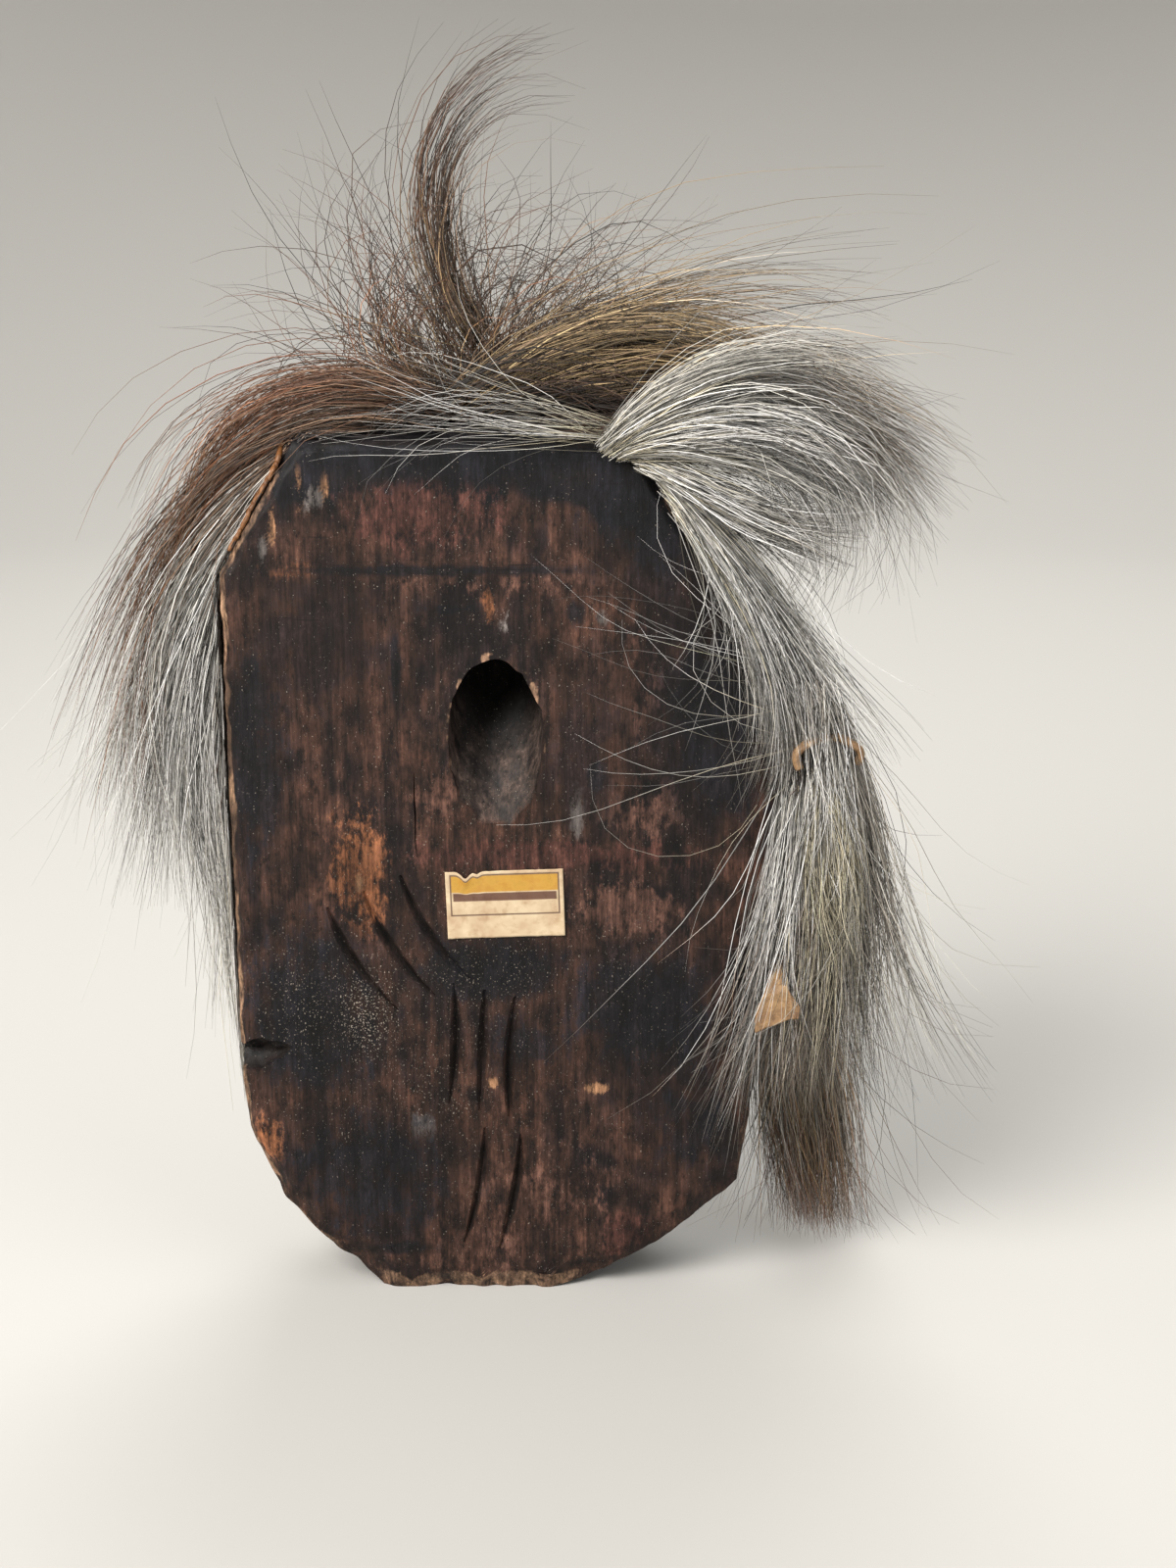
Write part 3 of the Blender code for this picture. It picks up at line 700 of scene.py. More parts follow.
tools = [socket_tool(), knot_tool(), crack_tool()]
for row, (x, z, step_x, step_z, count, heading, bend, more) in enumerate(MARK_ROWS):
    for k in range(count):
        at = ((x + step_x * k) * BLOCK_WIDTH, (z + step_z * k) * BLOCK_HEIGHT)
        tools.append(gouge_tool(at, heading, bend + more * k, 50 + 10 * row + k))
print(len(tools), "cutting tools")

# %% Cut the block
cutter = mesh_object("cutter", *joined([tube(rings) for rings in tools]))
close_up(cutter)
cut = block.modifiers.new("cut", "BOOLEAN")
cut.operation = "DIFFERENCE"
cut.solver = "EXACT"
cut.object = cutter
bpy.context.view_layer.update()
cut_block = block.evaluated_get(bpy.context.evaluated_depsgraph_get())
cut_mesh = bpy.data.meshes.new_from_object(cut_block)
block.modifiers.clear()
block.data = cut_mesh
block.data.name = "carved_block"
bpy.data.objects.remove(cutter, do_unlink=True)
block.data.set_sharp_from_angle(angle=math.radians(42.0))
print("cut block of", len(block.data.polygons), "faces")

# %% [markdown]
# ## Stain, wear and painted shade on the wood
#
# The wood is stained almost black, rubbed back to red-brown and orange in places, and worn light
# along its edges. The broad patches depend on the place, so they are worked out for each vertex:
# an ellipse with a ragged rim for each patch. The fibres are finer than the mesh, so the
# material's own noise draws them, stretched along the grain.
# Shade is painted into the colour as well: near black in the gouged grooves and darker deeper into the
# bore.

# %% Stain colours and patches
BLACK_BROWN = hexed("120c0c")
RED_BROWN = hexed("37241c")
MAROON = hexed("35201b")
BLUE_BLACK = hexed("0b0b0f")
ORANGE = hexed("5a3824")
TAN = hexed("6c4f39")
GREY = hexed("484341")
BROWN = hexed("3c2922")

# Each patch: colour, centre x and z, half width and half height in millimetres, strength
DARK_PATCHES = ((BLUE_BLACK, 2, 239, 62, 9, 1.0), (BLUE_BLACK, 50, 222, 20, 17, 1.0),
                (BLUE_BLACK, -12, 207.2, 44, 1.5, 0.95), (BLACK_BROWN, -42, 190, 22, 20, 0.8),
                (BLUE_BLACK, -20, 181, 1.6, 9, 0.9),
                (BLUE_BLACK, -6, 197, 9, 1.6, 0.8), (BLUE_BLACK, 28, 196, 3, 4, 0.9),
                (BLUE_BLACK, 66, 168, 16, 30, 0.9), (BLUE_BLACK, -58, 158, 9, 34, 0.9),
                (MAROON, 20, 129.5, 36, 4.5, 1.0), (BLUE_BLACK, 3, 97, 20, 10, 1.0),
                (BLUE_BLACK, 46, 84, 22, 18, 0.95), (BLUE_BLACK, -46, 84, 22, 28, 0.85),
                (BLUE_BLACK, -30, 36, 26, 20, 0.8), (BLUE_BLACK, -20, 13, 9, 2.4, 0.9),
                (BLUE_BLACK, 12, 75, 12, 12, 0.75), (BLUE_BLACK, 60, 52, 12, 18, 0.75),
                (BLACK_BROWN, 30, 160, 14, 30, 0.6), (BLUE_BLACK, 33, 152, 3.5, 7, 0.8))
LIGHT_PATCHES = ((MAROON, -12, 222, 24, 11, 0.95), (BROWN, -14, 224, 13, 5, 0.6),
                 (ORANGE, -46, 207, 13, 4, 0.62), (BROWN, 8, 205, 58, 5, 0.60),
                 (ORANGE, 5, 200, 2.0, 13, 0.65), (GREY, -40, 225.5, 3.4, 4.0, 0.8),
                 (TAN, -44, 231, 1.4, 9, 0.6), (TAN, -51, 219, 1.4, 6, 0.75),
                 (GREY, -54, 212, 1.6, 5, 0.7), (TAN, -37, 229, 1.3, 6, 0.7),
                 (GREY, 9, 193, 4, 5, 0.5), (GREY, 35, 195, 3, 3.4, 0.6),
                 (BROWN, 36, 176, 28, 26, 0.55), (ORANGE, -30, 124, 9.5, 20, 0.86),
                 (TAN, -31, 122, 4.0, 8.5, 0.9), (BROWN, -8, 147, 15, 10, 0.6),
                 (ORANGE, 6, 132, 15, 1.8, 0.55), (BROWN, 40, 114, 18, 10, 0.85),
                 (ORANGE, 33, 111, 8, 5, 0.6), (BROWN, 46, 143, 22, 14, 0.6),
                 (GREY, 28, 141, 2.4, 9.5, 0.85), (BROWN, 44, 100, 17, 5, 0.5),
                 (GREY, -16, 50, 6.0, 6.4, 0.62), (TAN, 33.6, 62, 4.0, 2.0, 0.75),
                 (TAN, 4.4, 63.4, 2.0, 2.4, 0.75), (ORANGE, -59, 46, 5.5, 10, 0.85),
                 (BROWN, 16, 30, 30, 16, 0.6), (MAROON, 42, 16, 8, 9, 0.9), (BROWN, -6, 12, 28, 8, 0.6))
# Dust and the fine checks across the grain have only a cover, so their colour stays black.
BLACK = hexed("000000")
DUST = ((BLACK, -30, 84, 10, 15, 0.85), (BLACK, 5, 88, 26, 22, 0.35), (BLACK, -20, 60, 30, 20, 0.3),
        (BLACK, -46, 88, 14, 20, 0.45))
CHECKS = ((BLACK, 43, 232, 9, 5, 1.0), (BLACK, 64, 205, 11, 3.5, 1.0), (BLACK, -8, 208, 48, 2.6, 0.9),
          (BLACK, -44, 194, 11, 1.8, 0.9), (BLACK, -40, 216, 10, 4, 0.6))


def patch_layer(points, patches, where):
    """Colour and cover of a layer of patches. Each fades out from its centre along a bell
    curve, the strongest gives the colour, and the material makes its border ragged."""
    x, z = points[:, 0] * 1000, points[:, 2] * 1000
    colour, cover = np.zeros((len(points), 3)), np.zeros(len(points))
    for shade, centre_x, centre_z, wide, high, strength in patches:
        away = ((x - centre_x) / wide) ** 2 + ((z - centre_z) / high) ** 2
        mask = np.exp(-0.9 * away) * strength * where
        colour = np.where((mask > cover)[:, None], shade, colour)
        cover = np.maximum(cover, mask)
    return colour, cover


print(len(DARK_PATCHES), "dark and", len(LIGHT_PATCHES), "light patches")


# %% Stain, painted shade and wear
def off_bore(points):
    """Distance from the bore's sloping axis."""
    x, y, z = points.T
    slope = math.radians(SOCKET_SLOPE)
    return np.hypot(x - SOCKET_X, (z - SOCKET_Z) * math.sin(slope) - (y - BACK_Y) * math.cos(slope))


def face_stain(points, drift):
    """Dark in the hollows of the face and rubbed light on its high spots."""
    hollow = cavity((points[:, 0] - FACE_X) / BLOCK_HEIGHT, points[:, 2] / BLOCK_HEIGHT)
    tone = np.clip(0.46 + drift - 60.0 * hollow, 0.0, 1.0)[:, None]
    return ramp(hexed("1d1412"), hexed("42291f"), hexed("6f4a34"), tone)


def stain_and_shade(points, outward):
    """Stain and painted shade over the whole block: drifting dark tones, a darker band along the top
    edge, the raw bore with painted shade deeper in, painted shade in the gouged grooves, the knot
    and, on the face, rubbed high spots."""
    x, y, z = points.T
    grain = noise(points * (1.0, 1.0, 0.045), 0.0016, 61)
    broad = noise(points * (1.0, 1.0, 0.4), 0.020, 62)
    cloud = noise(points, 0.0060, 63)
    fine = noise(points * (1.0, 1.0, 0.5), 0.0021, 64)
    tone = np.clip(0.44 + 0.34 * broad + 0.38 * cloud + 0.26 * grain + 0.38 * fine, 0.0, 1.0)
    colour = mix(BLACK_BROWN, RED_BROWN, tone[:, None])
    band = BLOCK_HEIGHT - 0.012 - 0.010 * smooth(x, 0.015, 0.050) + 0.004 * cloud + 0.002 * fine
    colour = mix(colour, BLUE_BLACK, 0.9 * smooth(z, band - 0.002, band + 0.002)[:, None])
    off_axis = off_bore(points)
    bored = smooth(off_axis, SOCKET_DIAMETER * 0.56, SOCKET_DIAMETER * 0.515)
    bored = bored * smooth(y, BACK_Y + 0.0002, BACK_Y + 0.0010) * (y < BACK_Y + 0.045)
    share = np.clip(0.40 + 0.35 * grain + 0.35 * fine, 0, 1)[:, None]
    inside = mix(hexed("1c1513"), hexed("362c27"), share)
    # Painted shade: the bore's wall darkens to near black deeper in.
    inside = mix(inside, hexed("0c0908"), smooth(y, BACK_Y + 0.006, BACK_Y + 0.018)[:, None])
    colour = mix(colour, inside, bored[:, None])
    left, right = sides(z / BLOCK_HEIGHT)
    room = np.minimum(np.minimum(x - left, right - x), z)
    # Painted shade: the inside of the gouged grooves is darkened to near black.
    groove_shade = smooth(y, BACK_Y + 0.0003, BACK_Y + 0.0014) * smooth(y, BACK_Y + 0.0040, BACK_Y + 0.0026)
    groove_shade = groove_shade * smooth(room, 0.006, 0.008) * smooth(off_axis, 0.0145, 0.0155)
    colour = mix(colour, hexed("0c0807"), groove_shade[:, None] * 0.9)
    knot = np.hypot((x - left - 0.005) / 0.010, (z - KNOT_Z) / 0.006)
    knot = smooth(knot, 1.2, 0.6) * smooth(y, BACK_Y, BACK_Y + 0.001)
    colour = mix(colour, hexed("120d0c"), knot[:, None])
    front = smooth(y, BACK_Y + RIM_DEPTH * 0.7, BACK_Y + RIM_DEPTH) * smooth(outward[:, 1], -0.1, 0.3)
    worked = face_stain(points, 0.20 * broad + 0.10 * cloud + 0.10 * grain)
    return np.clip(mix(colour, worked, front[:, None]), 0.0, 1.0)


def wear(points, outward):
    """Where the back's sharp edges are rubbed pale: the rim, the foot's cut and the socket."""
    x, y, z = points.T
    cloud, fine = noise(points, 0.0050, 66), noise(points, 0.0018, 67)
    left, right = sides(z / BLOCK_HEIGHT)
    rim = np.minimum(np.minimum(x - left, right - x), BLOCK_HEIGHT - z)
    near_back = smooth(y, BACK_Y + 0.0045, BACK_Y + 0.0012)
    side = smooth(rim + 0.0010 * cloud, 0.0018, 0.0006) * smooth(np.abs(outward[:, 1]), 1.0, 0.90)
    side = side * (0.45 + 0.55 * smooth(x, 0.03, -0.05))
    foot = smooth(z + 0.0010 * cloud, 0.0066, 0.0042) * smooth(-outward[:, 1], 1.0, 0.97)
    lip = smooth(np.abs(off_bore(points) - SOCKET_DIAMETER / 2), 0.0014, 0.0003)
    lip = lip * smooth(fine + cloud * 0.6, -0.2, 0.25) * smooth(z, SOCKET_Z - 0.012, SOCKET_Z + 0.004)
    return np.clip(np.maximum(np.maximum(side, foot * 0.8), lip) * near_back, 0.0, 1.0)


bpy.context.view_layer.update()
block_co, block_normal = vertex_array(block), vertex_array(block, "normal")
on_back = smooth(block_co[:, 1], BACK_Y + 0.0020, BACK_Y + 0.0008)
paint(block, "stain_and_shade", stain_and_shade(block_co, block_normal))
for layer, patches in (("dark_patch", DARK_PATCHES), ("light_patch", LIGHT_PATCHES),
                       ("checks", CHECKS), ("dust", DUST)):
    paint(block, layer, *patch_layer(block_co, patches, on_back))
worn_share = np.clip(0.5 + 0.5 * noise(block_co, 0.003, 68), 0, 1)[:, None]
top_edge = smooth(block_co[:, 2], BLOCK_HEIGHT - 0.010, BLOCK_HEIGHT - 0.004)
paint(block, "worn", mix(hexed("43332a"), hexed("6e5643"), worn_share),
      wear(block_co, block_normal) * (1.0 - 0.9 * top_edge))
print("stain painted on", len(block_co), "points")

# %% Wood material
wood, tree, shader = new_material("old_stained_wood")
fibres = grain_noise(tree, 1300.0, 0.05, 5.0, 0.7)
rings = grain_noise(tree, 330.0, 0.022, 3.0)
mottle = grain_noise(tree, 620.0, 0.40, 6.0, 0.75)
ragged = grain_noise(tree, 190.0, 0.55, 7.0, 0.72)
specks = grain_noise(tree, 2300.0, 0.9, 2.0, 0.5)
clouds = grain_noise(tree, 75.0, 0.7, 5.0, 0.65)


def painted(name):
    """Colour and cover of a layer of paint stored on the block."""
    layer = node(tree, "ShaderNodeAttribute", attribute_name=name)
    return layer.outputs["Color"], layer.outputs["Alpha"]


def ragged_mask(cover, low, high, amount):
    """Turns a soft cover into a patch with a torn border by adding noise before a threshold."""
    torn = product(tree, calculate(tree, "SUBTRACT", ragged, 0.5), amount)
    grainy = product(tree, calculate(tree, "SUBTRACT", mottle, 0.5), amount * 0.6)
    noisy = calculate(tree, "ADD", cover, calculate(tree, "ADD", torn, grainy))
    return ranged(tree, noisy, low, high)


base, _ = painted("stain_and_shade")
dark, dark_cover = painted("dark_patch")
light, light_cover = painted("light_patch")
worn, worn_cover = painted("worn")
coloured = blend(tree, "MIX", ragged_mask(light_cover, 0.46, 0.74, 1.8), base, light)
dark_mask = product(tree, ragged_mask(dark_cover, 0.32, 0.66, 2.0), 0.9)
coloured = blend(tree, "MIX", dark_mask, coloured, dark)
coloured = blend(tree, "MIX", ragged_mask(worn_cover, 0.35, 0.75, 1.1), coloured, worn)

light_dark = product(tree, ranged(tree, fibres, 0.32, 0.68, 0.48, 1.62),
                     ranged(tree, rings, 0.36, 0.64, 0.62, 1.34),
                     ranged(tree, mottle, 0.34, 0.66, 0.26, 1.95),
                     ranged(tree, ragged, 0.38, 0.62, 0.60, 1.45),
                     ranged(tree, clouds, 0.34, 0.66, 0.48, 1.55))
grey_value = node(tree, "ShaderNodeCombineColor", [(channel, light_dark) for channel in range(3)])
coloured = blend(tree, "MULTIPLY", 1.0, coloured, grey_value.outputs["Color"])

_, dusty = painted("dust")
dust = ranged(tree, calculate(tree, "ADD", specks, product(tree, dusty, 0.14)), 0.70, 0.76)
_, checked = painted("checks")
across_grain = grain_noise(tree, 60.0, 26.0, 4.0)
check_lines = product(tree, ranged(tree, across_grain, 0.56, 0.62), ranged(tree, checked, 0.35, 0.7))
golden = product(tree, ranged(tree, mottle, 0.66, 0.74), ranged(tree, ragged, 0.50, 0.62))
fine_spots = product(tree, ranged(tree, mottle, 0.42, 0.34), ranged(tree, clouds, 0.44, 0.56))
for share, strength, shade in ((dust, 0.65, "a0968a"), (check_lines, 0.85, "0a0707"),
                               (golden, 0.42, "7d5c3c"), (fine_spots, 0.75, "0b0909")):
    coloured = blend(tree, "MIX", product(tree, share, strength), coloured, hexed(shade))
tree.links.new(coloured, shader.inputs["Base Color"])
tree.links.new(ranged(tree, ragged, 0.35, 0.65, 0.48, 0.78), shader.inputs["Roughness"])
fill(shader, {"Specular IOR Level": 0.22})
bumped = calculate(tree, "ADD", product(tree, fibres, 0.45), product(tree, mottle, 0.60))
bumped = calculate(tree, "ADD", bumped, product(tree, rings, 0.40))
bumpy(tree, shader, bumped, 0.65, 0.0004)
finish_piece(block, "wood_block", wood)

# %% [markdown]
# ## The paper label
#
# A small printed price label is glued under the socket. It is a thin sheet whose edges lift a
# little and whose top edge is torn. It is a grid bent out of its plane, and its print, a yellow
# band, a thin frame and a bar, comes from bands of its own UV map.

# %% Label sheet
LABEL_WIDTH = 0.032
LABEL_HEIGHT = 0.019
LABEL_X = 0.0084
LABEL_Z = 0.1160
LABEL_TURN = 1.8
LABEL_GAP = 0.0003
LABEL_THICKNESS = 0.00012
LABEL_COLUMNS, LABEL_ROWS = 73, 46

label_u, label_v = pairs(np.linspace(0, 1, LABEL_COLUMNS), np.linspace(0, 1, LABEL_ROWS))
a = (label_u - 0.5) * LABEL_WIDTH
b = (label_v - 0.5) * LABEL_HEIGHT
tear = bell(label_u - 0.17, 0.045) + 0.55 * bell(label_u - 0.27, 0.03)
flat_place = triple(a, 0.0, b)
along_edge = flat_place * (1, 1, 0)
torn_edge = 0.0016 * tear * smooth(label_v, 0.55, 1.0) * (1.0 + 0.5 * noise(along_edge, 0.0007, 71))
ragged_edge = 0.00010 * noise(along_edge, 0.0009, 72) * smooth(np.abs(label_v - 0.5), 0.42, 0.5)
b = b - torn_edge + ragged_edge
lift = 0.00035 * smooth(label_u, 0.86, 1.0) * smooth(label_v, 0.3, 0.0)
lift = lift + 0.00030 * smooth(label_u, 0.16, 0.0) * smooth(label_v, 0.4, 0.0)
lift = lift + 0.00045 * tear * smooth(label_v, 0.78, 1.0)
lift = lift + 0.00006 * noise(flat_place, 0.0045, 73) + 0.00008
turn = math.radians(LABEL_TURN)
label_x = LABEL_X + a * math.cos(turn) - b * math.sin(turn)
label_z = LABEL_Z + a * math.sin(turn) + b * math.cos(turn)
label_y = BACK_Y - LABEL_GAP + 0.00012 - lift
front_sheet = triple(label_x, label_y - LABEL_THICKNESS, label_z)
back_sheet = triple(label_x, label_y, label_z)
label = shell_object("price_label", front_sheet, back_sheet)
flat_uv = np.stack([label_u, label_v], axis=-1).reshape(-1, 2)
vertex_uv = np.full((len(label.data.vertices), 2), 0.01)
vertex_uv[:2 * len(flat_uv)] = np.concatenate([flat_uv, flat_uv])
corner_vertex = np.empty(len(label.data.loops), np.int32)
label.data.loops.foreach_get("vertex_index", corner_vertex)
uv_layer = label.data.uv_layers.new(name="print")
uv_layer.data.foreach_set("uv", vertex_uv[corner_vertex].astype(np.float32).ravel())
close_up(label, 1e-6)
print("label of", len(label.data.polygons), "faces")

# %% Label print
paper, tree, shader = new_material("printed_paper")
place = node(tree, "ShaderNodeUVMap", uv_map="print")
axes = node(tree, "ShaderNodeSeparateXYZ", [("Vector", place.outputs["UV"])])
u_axis, v_axis = axes.outputs["X"], axes.outputs["Y"]


def band(value, low, high, soft=0.006):
    """1 between low and high, falling to 0 over a soft edge on either side."""
    rise = ranged(tree, value, low - soft, low + soft)
    fall = ranged(tree, value, high - soft, high + soft, 1.0, 0.0)
    return product(tree, rise, fall)


def frame_line(low_u, high_u, low_v, high_v, thick):
    """A rectangle's outline: the larger band minus the smaller one."""
    outer = product(tree, band(u_axis, low_u, high_u, 0.003), band(v_axis, low_v, high_v))
    inner = product(tree, band(u_axis, low_u + thick, high_u - thick, 0.003),
                    band(v_axis, low_v + 1.7 * thick, high_v - 1.7 * thick))
    return calculate(tree, "SUBTRACT", outer, inner)


mottle = grain_noise(tree, 420.0, 1.0, 5.0)
stains = grain_noise(tree, 130.0, 1.0, 3.0)
colour = blend(tree, "MIX", ranged(tree, stains, 0.35, 0.7), hexed("c6b496"), hexed("a88e70"))
yellow_area = product(tree, band(u_axis, 0.045, 0.955), band(v_axis, 0.690, 0.935))
yellow = blend(tree, "MIX", ranged(tree, mottle, 0.35, 0.65), hexed("a4740f"), hexed("b28928"))
colour = blend(tree, "MIX", product(tree, yellow_area, 0.92), colour, yellow)
bar = product(tree, band(u_axis, 0.060, 0.940), band(v_axis, 0.555, 0.675))
colour = blend(tree, "MIX", product(tree, bar, 0.92), colour, hexed("4f2c20"))
thin_frame = frame_line(0.035, 0.965, 0.335, 0.955, 0.013)
colour = blend(tree, "MIX", product(tree, thin_frame, 0.9), colour, hexed("4a3024"))
smudge = product(tree, ranged(tree, mottle, 0.52, 0.75), 0.5)
colour = blend(tree, "MULTIPLY", smudge, colour, hexed("b99a6b"))
tree.links.new(colour, shader.inputs["Base Color"])
fill(shader, {"Roughness": 0.72})
bumpy(tree, shader, mottle, 0.35, 0.0001)
finish_piece(label, "paper_label", paper)

# %% [markdown]
# ## Pelt skin
#
# Each pelt is a strip of raw hide fixed to the rim, and its orange cut edge shows beside the
# wood. A strip follows the block's own rim at a small distance, so it always lies on the wood.
# It is a closed box of two parameters: along the rim and across its width.

# %% Skin strips
SKIN_THICKNESS = 0.0010
SKIN_GAP = 0.0003
STRIP_STEPS, STRIP_ROWS = 90, 14
MIDDLE_X, MIDDLE_Z = 0.008, 0.13        # well inside the outline


def hide_material(name, dark, light, seam):
    """Raw hide: a mottled tone, fine pores and a little light passing through."""
    made, tree, shader = new_material(name)
    wet = grain_noise(tree, 260.0, 1.0, 5.0)
    pores = grain_noise(tree, 1700.0, 1.0, 3.0)
    colour = blend(tree, "MIX", ranged(tree, wet, 0.32, 0.68), hexed(dark), hexed(light))
    colour = blend(tree, "MULTIPLY", ranged(tree, pores, 0.35, 0.75, 0.0, 0.5), colour, hexed(seam))
    tree.links.new(colour, shader.inputs["Base Color"])
    tree.links.new(ranged(tree, wet, 0.3, 0.7, 0.42, 0.70), shader.inputs["Roughness"])
    fill(shader, {"Subsurface Weight": 0.08, "Subsurface Radius": (0.003, 0.0012, 0.0006)})
    bumpy(tree, shader, pores, 0.5, 0.0003)
    return made


hide = hide_material("raw_hide", "60391a", "8c5c2e", "4a2e1a")
pale_hide = hide_material("pale_hide", "7c5c40", "b8966c", "684a30")
worn_hide = hide_material("worn_hide", "2c1c12", "5a3e26", "160e08")
# A copy of the hide painted near black as shade, for the strips along the top that lie under the hair.
shaded_hide = hide_material("shaded_hide", "20150f", "4a3220", "100a07")


def rim_path(stretches, count):
    """Shares across and up along the rim, evenly spaced over its straight stretches."""
    stretches = np.array(stretches, float)
    x = stretches[:, 0] * BLOCK_WIDTH
    z = stretches[:, 1] * BLOCK_HEIGHT
    length = np.concatenate([[0], np.cumsum(np.hypot(np.diff(x), np.diff(z)))])
    at = np.linspace(0, length[-1], count)
    return np.interp(at, length, stretches[:, 0]), np.interp(at, length, stretches[:, 1])


def skin_strip(name, stretches, near, far, node_name, seed, material=hide):
    """A strip of hide along part of the rim, between two distances from the flat back. Its
    borders wave, and it stands off the wood by a little more here and there."""
    across, up = rim_path(stretches, STRIP_STEPS)
    s, t = pairs(np.linspace(0, 1, STRIP_STEPS), np.linspace(0, 1, STRIP_ROWS))
    place = triple(s * 0.2, t * 0.02, 0.0)
    edge = place * (1, 0, 0)
    wave = noise(edge, 0.014, seed) * 0.0016 + noise(edge, 0.005, seed + 1) * 0.0007
    depth = BACK_Y + near + wave * (1 - 2 * t) + t * (far - near)
    left, right = sides(up)
    base_x = (left + across * (right - left))[:, None] + 0 * t
    rise = np.clip((depth - BACK_Y) / RIM_DEPTH, 0.0, 1.0)
    base_z = (up * BLOCK_HEIGHT)[:, None] + crown_rise(rise) * smooth(up, 0.80, 1.0)[:, None]
    along_x, along_z = np.gradient(base_x, axis=0), np.gradient(base_z, axis=0)
    size = np.hypot(along_x, along_z) + 1e-9
    out_x, out_z = along_z / size, -along_x / size
    flip = np.sign((base_x - MIDDLE_X) * out_x + (base_z - MIDDLE_Z) * out_z)
    out_x, out_z = out_x * flip, out_z * flip
    lift = SKIN_GAP + 0.0006 * np.clip(noise(place, 0.012, seed + 2) + 0.2, 0, 1)
    thick = SKIN_THICKNESS * (1.0 + 0.25 * noise(place, 0.006, seed + 3))
    inner = triple(base_x + out_x * lift, depth, base_z + out_z * lift)
    outer = triple(base_x + out_x * (lift + thick), depth, base_z + out_z * (lift + thick))
    finish_piece(close_up(shell_object(name, outer, inner), 1e-6), node_name, material)


skin_strip("skin_left", ((0.0, 0.885), (0.0, 0.920), (0.0, 0.985)),
           0.0014, 0.022, "pelt_left", 81)
skin_strip("skin_left_low", ((0.0, 0.862), (0.0, 0.44)), 0.0125, 0.027, "pelt_left",
           83)
# The strips along the top take the hide painted near black as shade.
skin_strip("skin_top", ((0.10, 1.0), (0.74, 1.0)), 0.0120, 0.0290, "pelt_top",
           85, shaded_hide)
skin_strip("skin_white", ((0.78, 1.0), (1.0, 1.0), (1.0, 0.924), (1.0, 0.80)),
           0.0040, 0.018, "pelt_white", 89, shaded_hide)
skin_strip("skin_right", ((1.0, 0.78), (1.0, 0.711), (1.0, 0.52)),
           0.0060, 0.020, "pelt_right", 93, worn_hide)
skin_strip("skin_tail", ((1.0, 0.46), (1.0, 0.32)), 0.018, 0.038, "pelt_tail",
           97, worn_hide)

# %% [markdown]
# ### The loop and the corner of hide
#
# At the right a narrow strip of hide bends over the root of a pelt, and below it a bare corner
# of the skin sticks out over the wood's edge. The strip is an oval section carried along half
# an ellipse. The corner is a sheet that widens downwards, because a flat triangle would have
# no bend to catch the light.

# %% Loop and corner of hide
LOOP_X, LOOP_Z = 0.0942, 0.1585
LOOP_WIDE, LOOP_HIGH = 0.0084, 0.0058
LOOP_SECTION = (0.0024, 0.0012)         # half the hide's width and half its thickness
CORNER_TOP = (0.0808, 0.0826)           # x of the sheet's two sides at its top
CORNER_FOOT = (0.0760, 0.0886)          # and at its foot
CORNER_Z, CORNER_DROP = 0.0990, 0.0176
CORNER_THICKNESS = 0.0011


def hide_loop():
    """An oval section along an arch; the arch leans back at its right end."""
    share = np.linspace(0.0, 1.0, 56)
    angle = np.radians(205.0 - 225.0 * share)
    waver = noise(triple(share * 0.03, 0.0, 0.0), 0.004, 111) * 0.0005
    centre = triple(LOOP_X + (LOOP_WIDE + waver) * np.cos(angle),
                    BACK_Y - 0.0085 + 0.0030 * share,
                    LOOP_Z + (LOOP_HIGH + waver) * np.sin(angle))
    out = triple(np.cos(angle), 0.0, np.sin(angle))
    turn = np.linspace(0.0, 2 * math.pi, 18, endpoint=False)
    wide = LOOP_SECTION[0] * (1.0 - 0.55 * np.abs(2 * share - 1) ** 3)
    rings = centre[:, None] + out[:, None] * (LOOP_SECTION[1] * np.cos(turn))[None, :, None]
    rings[..., 1] += wide[:, None] * np.sin(turn)[None, :]
    return rings


def hide_corner():
    """A sheet from its top edge to its low edge; it widens and comes forward on the way."""
    across, down = pairs(np.linspace(0, 1, 28), np.linspace(0, 1, 34))
    left = mix(CORNER_TOP[0], CORNER_FOOT[0], down ** 0.8) + 0.0006 * np.sin(7.0 * down)
    right = mix(CORNER_TOP[1], CORNER_FOOT[1], down ** 0.6) + 0.0007 * np.sin(9.0 * down + 1.0)
    x = left + across * (right - left)
    ragged = noise(triple(across * 0.01, 0.0, 0.0), 0.0016, 113) * 0.0007
    z = CORNER_Z - down * (CORNER_DROP - 0.0042 * across + ragged)
    y = BACK_Y - 0.0012 - 0.0056 * smooth(down, 0.0, 0.45) - 0.0016 * down * (2 * across - 1) ** 2
    return triple(x, y, z)


loop = close_up(mesh_object("hide_loop", *tube(hide_loop())))
finish_piece(loop, "pelt_right", pale_hide)
corner = hide_corner()
corner_back = corner + (0.0, CORNER_THICKNESS, 0.0)
corner_sheet = close_up(shell_object("hide_corner", corner, corner_back), 1e-6)
finish_piece(corner_sheet, "pelt_tail", pale_hide)

# %% [markdown]
# ## Hair
#
# Goat hair is long, coarse and almost straight, and it hangs in locks. Each pelt's locks follow
# a few guide lines that turn evenly from the root to the tip. A strand takes its own mix of the
# two nearest guides, leans towards the middle of its lock, wanders a little and may stray. Real
# hair has tens of thousands of strands, so a strand here is a three-sided tube with a pointed
# end, and all of a pelt's strands are worked out together as one array. A hair system would be
# quicker to set up, but its strands are no mesh.

